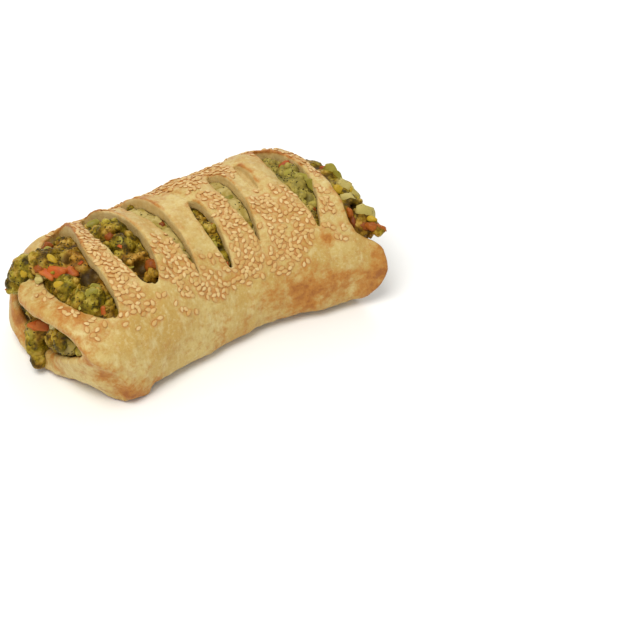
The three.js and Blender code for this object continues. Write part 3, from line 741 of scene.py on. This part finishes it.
fillingTrees.append(treeOf(florets))
sprigs = joined("broccoliSprigs", [budded(3, 5, 60, 0.3, 110 + k) for k in range(8)],
                scatter(46, (1.8, 3.6), -0.45, 1.5))
crumbs = joined("mashCrumbs", [crumbly(2, 120 + k, 0.3) for k in range(12)],
                scatter(260, (0.8, 2.4), -0.35, 0.8))
diceShapes = [worn(faceted(3, cubeSides, 60 + k, (1.3, 0.75, 0.62), 7), 60 + k) for k in range(5)]
carrotDice = joined("carrotDice", diceShapes,
                    placed(vegetables["carrots"], 42) + scatter(9, (0.7, 1.5), -0.1, 5.0)
                    + scatter(5, (2.6, 4.0), -0.3, 3.0, "right"))
cornKernels = joined("cornKernels", [kernel(k) for k in range(4)],
                     placed(vegetables["kernels"], 43) + scatter(4, (2.0, 2.8), -0.2, 6.0)
                     + scatter(8, (3.6, 4.3), -0.2, 2.6, "right"))
chunkShapes = [worn(faceted(3, chunkSides, 70 + k, (1.2, 0.9, 0.7), 9), 70 + k) for k in range(5)]
potatoChunks = joined("potatoChunks", chunkShapes,
                      placed(vegetables["potatoes"], 44) + scatter(7, (1.4, 2.4), -0.4, 5.0, "left right")
                      + scatter(5, (3.4, 5.0), -0.4, 3.0, "right"))
leekStrips = joined("leekStrips", [flake(3, 80 + k, 0.26) for k in range(5)],
                    placed(vegetables["leeks"], 46) + scatter(34, (1.2, 2.8), -0.1, 2.2))
herbFlecks = joined("herbFlecks", [flake(1, 90 + k, 0.3, 0.2) for k in range(6)],
                    scatter(1700, (0.32, 0.72), 0.1, 1.1))
toastedShapes = [worn(crumbly(3, k, 0.22, (1.5, 0.75, 0.7) if 1 < k < 7 else (1, 0.9, 0.7)), k)
                 for k in range(10)]
toastedBits = joined("toastedBits", toastedShapes,
                     placed(vegetables["toasted"], 45) + scatter(5, (0.8, 1.4), -0.1, 4.0))

# Marks on the pastry: where it browned, with painted shade among some browned patches, where the knife opened it,
# and where the filling stained it, with painted shade deep in the slits
browningAndShade = dict(
    # middle x, y, z, reach and how much, mm; browning, which on the left end's outer wall and along the top's far
    # side is partly painted shade
    patches=[(-68, -46, 20, 9, 0.85), (-58, -46, 8, 9, 0.95), (-49, -46, 5, 10, 0.6), (-62, -46, 14, 15, 0.45),
             (-80, 4, 24, 10, 0.5), (-72, -29, 40, 6, 0.55), (-64, -35, 40, 7, 0.4), (-80, -11, 40, 7, 0.5),
             (3, -36, 8, 16, 0.35), (28, -35, 6, 12, 0.5), (24, -35, 20, 11, 0.6), (38, -37, 20, 14, 0.85),
             (52, -40, 18, 13, 0.75), (40, -38, 10, 16, 0.6), (66, -43, 20, 12, 0.5), (77, -44, 20, 11, 0.95),
             (79, -42, 30, 9, 0.8), (72, -45, 10, 14, 0.8), (-16, 32, 49, 8, 0.8), (-9, 28, 52, 7, 0.5),
             (14, 32, 52, 9, 0.75), (22, 27, 54, 6, 0.5), (38, 40, 48, 9, 0.6), (55, 34, 52, 9, 0.7),
             (62, 20, 55, 7, 0.4), (-38, 30, 49, 9, 0.5), (53, -32, 40, 4, 0.8), (-60, -30, 45, 5, 0.6),
             (-30, 54, 10, 24, 0.5), (40, 60, 14, 26, 0.55), (74, 40, 20, 16, 0.6), (-60, 48, 12, 16, 0.5),
             (-82, 8, 14, 12, 0.8), (-80, 24, 22, 9, 0.6), (-78, -12, 12, 9, 0.5), (-78, -10, 40, 9, 0.4),
             (-72, -27, 37, 8, 0.4), (-66, -37, 36, 8, 0.35), (-44, 34, 45, 7, 0.6), (0, 38, 49, 9, 0.5),
             (-81.5, 17, 18, 9, 0.9), (-74, -20, 43, 9, 0.65), (-69, -29, 43, 8, 0.6), (1, 28, 52, 11, 0.45),
             (-13, 27, 52, 8, 0.65)],
    flatter=1.3,  # a patch reaches less far up and down
    edgeReach=2.3, rimReach=4, edge=0.8, rim=0.5, foot=0.75,
    # mm below the outer form: where the skin ends, a cut shows its face, the sheet its inside, and a darker
    # olive-brown sets in, partly sauce stain and partly painted shade
    skinEnd=(0.6, 2.4), cutFrom=(0.8, 1.7), insideFrom=(2.5, 4.5), stainShadeFrom=(6, 12), stainShadeOnCuts=0.8, stainShadeInside=0.6,
)


def lipSkin(places, normals):  # 1 on the lip's outer side and on its top, which are baked skin
    foot, top = alongCurve(loaf["lipFoot"], 70), alongCurve(loaf["lipTop"], 70)
    middle = (foot + top)[:, :2] / 2
    along = np.gradient(foot, axis=0)[:, :2]
    nearest = ((places[:, None, :2] - middle) ** 2).sum(axis=2).argmin(axis=1)
    outward = np.stack([-along[nearest, 1], along[nearest, 0]], -1)
    outward /= np.linalg.norm(outward, axis=1, keepdims=True)
    beyond = ((places[:, :2] - middle[nearest]) * outward).sum(axis=1)
    facing = (normals[:, :2] * outward).sum(axis=1)
    outside = smoothStep(beyond, -2.5, 0.5) * smoothStep(facing, -0.5, 0.1) * (places[:, 1] < 42)
    return np.maximum(outside, smoothStep(top[nearest, 2] - places[:, 2], 3.5, 1) * (beyond > -4))


def seedHalo(places):  # 1 beside a seed, where the egg wash gathered and browned
    halo = np.zeros(len(places))
    cell = 4  # mm, so that each place looks only at the seeds near it
    cells = {}
    for k, seedPlace in enumerate(seedPlaces):
        cells.setdefault(tuple((seedPlace // cell).astype(int)), []).append(k)
    high = np.where(places[:, 2] > sesame["haloLow"])[0]
    cellOf = places[high] // cell
    for key in cells:
        near = [k for shift in np.ndindex(3, 3, 3) for k in cells.get(tuple(np.add(key, shift) - 1), [])]
        box = high[(cellOf == key).all(axis=1)]
        if len(box):
            away = np.sqrt(((places[box][:, None, :] - seedPlaces[near]) ** 2).sum(axis=2)).min(axis=1)
            halo[box] = np.exp(-(np.maximum(away - sesame["haloFrom"], 0) / sesame["haloFade"]) ** 2)
    return halo


def pastryMarks():
    places, normals = placesOf(pastry)
    x, y, z = places.T
    angle, up, plain = sectionAt(x, y, z)
    cutAway, side, _ = slitField(x, y)
    under = (stripRelief(x, y) - loaf["puff"]) * crownAt(up) - plain  # depth below the outer form
    inSlit = (cutAway < 1.0) & (z > knife["floor"] - 2)
    cutFace = smoothStep(under, *browningAndShade["cutFrom"]) * inSlit
    inside = smoothStep(under, *browningAndShade["insideFrom"]) * (1 - inSlit)
    nearLip = np.where((x < -50) & (z < 34))[0]
    inside[nearLip] *= 1 - lipSkin(places[nearLip], normals[nearLip])
    # slit edges brown most on the strip that stands up, and at the far side
    edge = np.exp(-(np.maximum(cutAway, 0) / browningAndShade["edgeReach"]) ** 2) * (cutAway < 6)
    edge *= (1 - smoothStep(under, *browningAndShade["skinEnd"])) * smoothStep(z, 30, 38)
    edge *= np.where(side > 0, 1.0, 0.5) * (0.4 + 0.8 * smoothStep(y, -5, 22))
    rims = np.minimum(np.abs(x - rimAt(loaf["leftRim"], angle)), np.abs(x - rimAt(loaf["rightRim"], angle)))
    rim = np.exp(-(rims / browningAndShade["rimReach"]) ** 2) * (1 - inside)
    foot = smoothStep(-z, -3.5, -0.8)
    toastAndShade = np.maximum.reduce([browningAndShade["edge"] * edge, browningAndShade["rim"] * rim, browningAndShade["foot"] * foot])
    # browned patches; on the left end's outer wall and along the top's far side they are partly painted shade
    for px, py, pz, reach, most in browningAndShade["patches"]:
        away = (x - px) ** 2 + (y - py) ** 2 + ((z - pz) * browningAndShade["flatter"]) ** 2
        toastAndShade = np.maximum(toastAndShade, most * np.exp(-away / reach ** 2))
    # painted shade with sauce stain: darker olive-brown deeper down the cut faces, and a weaker wash of it over
    # the sheet's inside
    deepStainAndShade = cutFace * smoothStep(under, *browningAndShade["stainShadeFrom"])
    paint(pastry, "toastAndShade", toastAndShade)
    paint(pastry, "cutFace", cutFace)
    paint(pastry, "inside", inside)
    paint(pastry, "stainAndShade", np.maximum(deepStainAndShade * browningAndShade["stainShadeOnCuts"], inside * browningAndShade["stainShadeInside"]))
    paint(pastry, "halo", seedHalo(places) * (1 - cutFace))


doughSlits = (2, 4, 5)  # these open onto pale dough
doughBit = dict(middle=(-73, -30, 27), reach=5)  # and some stands behind the lip


def mashMarks():
    places, _ = placesOf(mash)
    x, y, z = places.T
    away, _, which = slitField(x, y)
    dough = np.isin(which, doughSlits) * smoothStep(z, 36, 41) * (away < 2)
    lipDough = np.exp(-((places - doughBit["middle"]) ** 2).sum(axis=1) / doughBit["reach"] ** 2)
    inHollow = np.zeros(len(x))
    for cx, cy, cz, reach, _ in heap["hollows"]:
        away = np.sqrt((x - cx) ** 2 + (y - cy) ** 2 + (z - cz) ** 2)
        inHollow = np.maximum(inHollow, 1 - smoothStep(away, reach, 2 * reach))
    # painted shade: low where the mash sinks and in the hollows, which the material turns dark brown
    paint(mash, "hollowShade", (0.5 + tumble(x, y, z) / 2.6) * (1 - inHollow))
    paint(mash, "dough", np.maximum(dough, lipDough))
    for piece in (mash, florets, sprigs, crumbs):
        places, _ = placesOf(piece)
        warm = np.zeros(len(places))
        for cx, cy, cz, reach in heap["warm"]:
            warm = np.maximum(warm, np.exp(-((places - (cx, cy, cz)) ** 2).sum(axis=1) / reach ** 2))
        paint(piece, "warm", warm)
        # paler in the last slit
        x, _, z = places.T
        paint(piece, "pale", 0.5 * smoothStep(x, 46, 52) * smoothStep(z, 44, 48) * (1 - smoothStep(x, 66, 70)))


pastryMarks()
mashMarks()
print("surfaces marked")


def linear(code):  # sRGB hex to linear colour
    code = code.lstrip("#")
    values = [int(code[i:i + 2], 16) / 255 for i in (0, 2, 4)]
    return tuple(v / 12.92 if v <= 0.04045 else ((v + 0.055) / 1.055) ** 2.4 for v in values) + (1.0,)


def perMetre(millimetres):  # texture scale that gives features of that size
    return 1000 / millimetres


# Adds a node with its settings and links, and the stops of a colour ramp; gives the output that is asked for
def addNode(tree, kind, settings=None, links=None, out=0, stops=()):
    node = tree.nodes.new("ShaderNode" + kind)
    for key, value in (settings or {}).items():
        if isinstance(key, int) or key in node.inputs:
            node.inputs[key].default_value = value
        else:
            setattr(node, key, value)
    for key, source in (links or {}).items():
        tree.links.new(source, node.inputs[key])
    if stops:
        elements = node.color_ramp.elements
        elements[0].position, elements[1].position = stops[0][0], stops[-1][0]
        for spot, _ in stops[1:-1]:
            elements.new(spot)
        for element, (_, code) in zip(elements, stops):
            element.color = linear(code)
    return node.outputs[out] if len(node.outputs) else None


# Lays colours over one another. Each layer: what it follows, where that runs from nil to full, most, colour
def laidOver(tree, colour, layers):
    for source, low, high, most, over in layers:
        settings, links = {"From Min": low, "From Max": high}, {"Value": source}
        if isinstance(most, bpy.types.NodeSocket):
            links["To Max"] = most
        else:
            settings["To Max"] = most
        amount = addNode(tree, "MapRange", settings, links)
        settings, links = {"data_type": "RGBA"}, {0: amount}
        for end, value in ((6, colour), (7, over)):
            if isinstance(value, str):
                settings[end] = linear(value)
            else:
                links[end] = value
        colour = addNode(tree, "Mix", settings, links, 2)
    return colour


def newMaterial(name, roughness, ior, shine=0.5):  # less shine for what is floury or fibrous
    material = bpy.data.materials.new(name)
    material.use_nodes = True
    tree = material.node_tree
    tree.nodes.clear()
    surface = addNode(tree, "BsdfPrincipled", {"Roughness": roughness, "IOR": ior, "Specular IOR Level": shine})
    addNode(tree, "OutputMaterial", links={"Surface": surface})
    return material, tree, surface.node


# Puff pastry brushed with egg and baked: satin, mottled gold over a pale crumb, browned where it stands proud,
# with painted shade in some browned patches and deep in the slits
puff, tree, shader = newMaterial("bakedPuffPastry", 0.52, 1.45, 0.35)
place = addNode(tree, "TexCoord", out="Object")
broad = addNode(tree, "TexNoise", {"Scale": perMetre(26), "Detail": 3, "Roughness": 0.6}, {"Vector": place})
mottle = addNode(tree, "TexNoise", {"Scale": perMetre(5), "Detail": 5, "Roughness": 0.72}, {"Vector": place})
fine = addNode(tree, "TexNoise", {"Scale": perMetre(1.5), "Detail": 3, "Roughness": 0.65}, {"Vector": place})
drawn = addNode(tree, "Mapping", {"Scale": (1.0, 1.0, 0.28)}, {"Vector": place})
streaks = addNode(tree, "TexNoise", {"Scale": perMetre(3.4), "Detail": 3, "Roughness": 0.6}, {"Vector": drawn})
specks = addNode(tree, "TexVoronoi", {"Scale": perMetre(2.6)}, {"Vector": place})
speckled = addNode(tree, "MapRange", {"From Min": 0.5, "From Max": 0.6, "To Max": 0.7}, {"Value": mottle})
toastAndShade, halo, stainAndShade, cutFace, inside = [addNode(tree, "Attribute", {"attribute_name": name}, out="Fac")
                                       for name in ("toastAndShade", "halo", "stainAndShade", "cutFace", "inside")]
# the browning layer also carries the painted shade of some patches on the left end's wall and the top's far side
toastAndShadeAmount = addNode(tree, "Math", {"operation": "MULTIPLY_ADD", 1: 2.0, 2: -1.0}, {0: mottle})
toastAndShadeAmount = addNode(tree, "Math", {"operation": "ADD", "use_clamp": True}, {0: toastAndShadeAmount, 1: toastAndShade})
toastAndShadeAmount = addNode(tree, "MapRange", {"From Min": 0.12, "From Max": 1.05}, {"Value": toastAndShadeAmount})
brownedAndShaded = addNode(tree, "ValToRGB", links={"Fac": toastAndShadeAmount},
                  stops=((0.0, "#B88E48"), (0.6, "#B0762E"), (1.0, "#94561C")))
opened = addNode(tree, "Math", {"operation": "MAXIMUM"}, {0: cutFace, 1: inside})
# the stain layer is sauce stain and painted shade, darker olive-brown deep in the slits
crumb = laidOver(tree, "#CCB47A", [(mottle, 0.35, 0.7, 1.0, "#BC9A5A"), (stainAndShade, 0, 1, 0.75, "#8E6C26")])
colour = laidOver(tree, "#C6AE6C", [
    (broad, 0.4, 0.62, 1.0, "#B8964E"),
    (mottle, 0.48, 0.72, 0.7, "#AC8240"),
    (streaks, 0.52, 0.68, 0.6, "#CEBC84"),
    (fine, 0.54, 0.72, 0.55, "#B0883E"),
    (fine, 0.46, 0.3, 0.5, "#D2C088"),
    (specks, 0.16, 0.08, speckled, "#8E6428"),
    (toastAndShadeAmount, 0, 0.55, 1.0, brownedAndShaded),
    (halo, 0, 1, 0.7, "#B47032"),
    (opened, 0, 1, 1.0, crumb),
])
tree.links.new(colour, shader.inputs["Base Color"])
blisters = addNode(tree, "TexNoise", {"Scale": perMetre(3.2), "Detail": 5, "Roughness": 0.65}, {"Vector": place})
pores = addNode(tree, "TexNoise", {"Scale": perMetre(0.9), "Detail": 2, "Roughness": 0.5}, {"Vector": place})
skin = addNode(tree, "Bump", {"Distance": 0.0008, "Strength": 0.6}, {"Height": blisters})
skin = addNode(tree, "Bump", {"Distance": 0.00022, "Strength": 0.6}, {"Height": pores, "Normal": skin})
tree.links.new(skin, shader.inputs["Normal"])
pastry.data.materials.append(puff)

# Hulled sesame, lightly toasted: cream on top, orange-brown where it sits in the baked egg wash
seedCoat, tree, shader = newMaterial("toastedSesame", 0.5, 1.47, 0.35)
tone, mark = [addNode(tree, "Attribute", {"attribute_name": name}, out="Fac") for name in ("tone", "mark")]
cream = laidOver(tree, "#D4B87E", [(tone, 0, 1, 1.0, "#C09A58")])
tree.links.new(laidOver(tree, "#B0702F", [(mark, 0, 1, 1.0, cream)]), shader.inputs["Base Color"])
sesameSeeds.data.materials.append(seedCoat)


# Mash and broccoli: shades from dark to light in olive and in amber, the width of freckles, and the relief
def mashMaterial(name, pieces, olive, amber, freckles, relief, doughy=False):
    material, tree, shader = newMaterial(name, 0.42, 1.4, 0.15)
    place = addNode(tree, "TexCoord", out="Object")
    broad = addNode(tree, "TexNoise", {"Scale": perMetre(4.6), "Detail": 2, "Roughness": 0.5}, {"Vector": place})
    fine = addNode(tree, "TexNoise", {"Scale": perMetre(1.5), "Detail": 3, "Roughness": 0.6}, {"Vector": place})
    hue = addNode(tree, "TexNoise", {"Scale": perMetre(9), "Detail": 2, "Roughness": 0.5}, {"Vector": place})
    clumps = addNode(tree, "TexNoise", {"Scale": perMetre(4.2), "Detail": 2, "Roughness": 0.5}, {"Vector": place})
    cells = addNode(tree, "TexVoronoi", {"Scale": perMetre(1.15)}, {"Vector": place})
    hollowShade, warm, pale = [addNode(tree, "Attribute", {"attribute_name": mark}, out="Fac")
                         for mark in ("hollowShade" if doughy else "mark", "warm", "pale")]
    shade = addNode(tree, "Math", {"operation": "MULTIPLY", 1: 0.68}, {0: broad})
    shade = addNode(tree, "Math", {"operation": "MULTIPLY_ADD", 1: 0.32}, {0: fine, 2: shade})
    oliveShade, amberShade = [addNode(tree, "ValToRGB", links={"Fac": shade},
                                      stops=tuple(zip((0.38, 0.46, 0.54, 0.62), shades)))
                              for shades in (olive, amber)]
    heated = addNode(tree, "MapRange", {"From Min": 0.5, "From Max": 0.62, "To Max": 0.6}, {"Value": hue})
    heated = addNode(tree, "Math", {"operation": "ADD", "use_clamp": True}, {0: heated, 1: warm})
    freckled = addNode(tree, "MapRange", {"From Min": 0.46, "From Max": 0.6, "To Max": 0.85}, {"Value": clumps})
    creamy = laidOver(tree, "#94863A", [(broad, 0, 1, 1.0, "#B8AC62")])
    layers = [
        (heated, 0, 1, 1.0, amberShade),
        # painted shade: dark brown where the mash sinks, in its hollows, and in the dents of the crumbs
        (hollowShade, 0.34, 0.0, 0.85, "#2E1C05"),
        (cells, freckles, freckles - 0.14, freckled, "#2E2806"),
        (pale, 0, 1, 1.0, creamy),
    ]
    if doughy:
        dough = addNode(tree, "Attribute", {"attribute_name": "dough"}, out="Fac")
        layers.append((dough, 0, 1, 1.0, laidOver(tree, "#B8A566", [(broad, 0.42, 0.6, 1.0, "#9A853E")])))
    tree.links.new(laidOver(tree, oliveShade, layers), shader.inputs["Base Color"])
    grain = addNode(tree, "Bump", {"Distance": 0.0004, "Strength": relief}, {"Height": fine})
    tree.links.new(grain, shader.inputs["Normal"])
    for piece in pieces:
        piece.data.materials.append(material)


# Vegetables mashed into a pale sauce: olive-yellow, amber where the heat reached it, soft and wet, with chopped
# green freckles and painted shade, dark brown, in its hollows and low places; pale dough where a slit only opens
# a lower layer
mashMaterial("boundVegetables", [mash], ("#463604", "#70590E", "#90791E", "#AC983C"),
             ("#442602", "#70490A", "#90651A", "#AC8238"), 0.27, 0.4, True)
# Crumbs of the same mash and broken heads of broccoli, a little greener and closer freckled
mashMaterial("brokenMash", [crumbs, sprigs], ("#50400A", "#7A6614", "#988426", "#B09E44"),
             ("#5A3808", "#8A6014", "#A87C2A", "#BE9A4C"), 0.26, 0.35)
# Broccoli cooked soft: dark olive buds that turn brown where they caught the heat
mashMaterial("cookedBroccoli", [florets], ("#362A02", "#5A4C08", "#7C6A14", "#988830"),
             ("#4A2C04", "#76540E", "#96701E", "#AC863A"), 0.3, 0.4)


# Cut vegetables: dark, light and edge colour, roughness, size of their patches in mm, and relief in metres
def vegetableMaterial(name, piece, dark, light, edge, roughness, patch, relief):
    material, tree, shader = newMaterial(name, roughness, 1.4, 0.25)
    place = addNode(tree, "TexCoord", out="Object")
    patches = {"Scale": perMetre(patch), "Detail": 3, "Roughness": 0.6}
    patchy = addNode(tree, "TexNoise", patches, {"Vector": place})
    cells = addNode(tree, "TexVoronoi", {"Scale": perMetre(1.3)}, {"Vector": place})
    tone, mark = [addNode(tree, "Attribute", {"attribute_name": name}, out="Fac") for name in ("tone", "mark")]
    stuck = addNode(tree, "MapRange", {"From Min": 0.5, "From Max": 0.6, "To Max": 0.7}, {"Value": patchy})
    colour = laidOver(tree, dark, [
        (tone, 0, 1, 1.0, light),
        (patchy, 0.5, 0.7, 0.6, dark),
        (mark, 0, 1, 0.6, edge),
        (cells, 0.26, 0.14, stuck, "#4A3A0E"),
    ])
    tree.links.new(colour, shader.inputs["Base Color"])
    grain = addNode(tree, "Bump", {"Distance": relief, "Strength": 0.6}, {"Height": patchy})
    tree.links.new(grain, shader.inputs["Normal"])
    piece.data.materials.append(material)


# Boiled carrot: orange with a wet gloss and a paler core
vegetableMaterial("boiledCarrot", carrotDice, "#94380C", "#B85418", "#B46A2C", 0.45, 2.4, 0.0002)
# Sweetcorn: thin glossy yellow skin over a soft body
vegetableMaterial("sweetcorn", cornKernels, "#90700A", "#B48E16", "#B89A2C", 0.34, 3.0, 0.0002)
# Boiled potato: matt, pale, wetted by the green sauce
vegetableMaterial("boiledPotato", potatoChunks, "#A8984E", "#C2B272", "#B4A25A", 0.42, 3.0, 0.0003)
# Leek: pale to mid green, thin and glossy
vegetableMaterial("softLeek", leekStrips, "#7C7220", "#A69A42", "#8E8230", 0.36, 2.0, 0.0002)
# Chopped green herbs and bud crumbs: nearly black-green specks
vegetableMaterial("greenHerbs", herbFlecks, "#2A220A", "#4C4214", "#3E3610", 0.5, 1.0, 0.0001)
# Filling that stood proud and caught the heat: red-brown to dark brown
vegetableMaterial("toastedFilling", toastedBits, "#5E2606", "#B0621C", "#783A0C", 0.45, 1.6, 0.0003)
print("materials made")

inSlots = {"pastry": (pastry, sesameSeeds),
           "vegetables": (mash, florets, sprigs, crumbs, carrotDice, cornKernels, potatoChunks, leekStrips,
                          herbFlecks, toastedBits)}
for slotName, pieces in inSlots.items():
    for piece in pieces:
        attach(piece, "root")
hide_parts("crust")
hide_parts("filling")

# Pale matt table, which only takes the shadow
floorMaterial, tree, shader = newMaterial("paleTable", 0.85, 1.45)
place = addNode(tree, "TexCoord", out="Object")
cloudy = addNode(tree, "TexNoise", {"Scale": perMetre(400), "Detail": 2, "Roughness": 0.5}, {"Vector": place})
tree.links.new(laidOver(tree, "#F4F4F2", [(cloudy, 0, 1, 1.0, "#F8F8F6")]), shader.inputs["Base Color"])
floorMesh = bpy.data.meshes.new("floor")
floorMesh.from_pydata([(-4, -4, 0), (4, -4, 0), (4, 4, 0), (-4, 4, 0)], [], [(0, 1, 2, 3)])
floor = bpy.data.objects.new("floor", floorMesh)
bpy.context.scene.collection.objects.link(floor)
floorMesh.materials.append(floorMaterial)

# White room light, one soft lamp over the near side and a weaker one from behind
world = bpy.data.worlds.new("studio")
world.use_nodes = True
background = world.node_tree.nodes["Background"]
background.inputs["Color"].default_value = linear("#FFFFFF")
background.inputs["Strength"].default_value = 0.68
bpy.context.scene.world = world
bpy.context.scene.view_settings.view_transform = "Standard"


def softbox(name, place, target, size, watts, colour):  # a round lamp, places in m
    lamp = bpy.data.lights.new(name, "AREA")
    lamp.shape = "DISK"
    lamp.size = size
    lamp.energy = watts
    lamp.color = linear(colour)[:3]
    thing = bpy.data.objects.new(name, lamp)
    thing.location = place
    thing.rotation_mode = "QUATERNION"
    thing.rotation_quaternion = (Vector(target) - Vector(place)).to_track_quat("-Z", "Y")
    bpy.context.scene.collection.objects.link(thing)


softbox("keyLight", (-0.35, -0.25, 0.9), (0, 0, 0), 0.6, 6.4, "#FFFDF8")
softbox("backLight", (0.5, 0.7, 0.6), (0, 0, 0.02), 0.6, 2.2, "#FFFFFF")
print("table and lights")

# The photograph's view: azimuth and elevation in degrees, distance and target in mm; the focal length and
# the place of the target are in pixels of a picture that is 625 wide and high
lens = dict(azimuth=-32.5, elevation=38, distance=620, target=(0, 0, 25),
            picture=625, focal=1320.6, middle=(195, 267))
a, e = math.radians(lens["azimuth"]), math.radians(lens["elevation"])
away = np.array([math.sin(a) * math.cos(e), -math.cos(a) * math.cos(e), math.sin(e)])
right = np.array([math.cos(a), math.sin(a), 0.0])
upward = np.cross(away, right)
aside, down = [(lens["picture"] / 2 - pixel) / lens["focal"] * lens["distance"] for pixel in lens["middle"]]
eye = np.array(lens["target"]) + away * lens["distance"] + right * aside - upward * down
camera = bpy.data.objects.new("camera", bpy.data.cameras.new("camera"))
camera.data.lens = lens["focal"] / lens["picture"] * camera.data.sensor_width
camera.data.clip_start = 0.01
camera.location = Vector((eye + toRow) * 0.001)
camera.rotation_mode = "QUATERNION"
camera.rotation_quaternion = Vector(-away).to_track_quat("-Z", "Y")
bpy.context.scene.collection.objects.link(camera)
bpy.context.scene.camera = camera
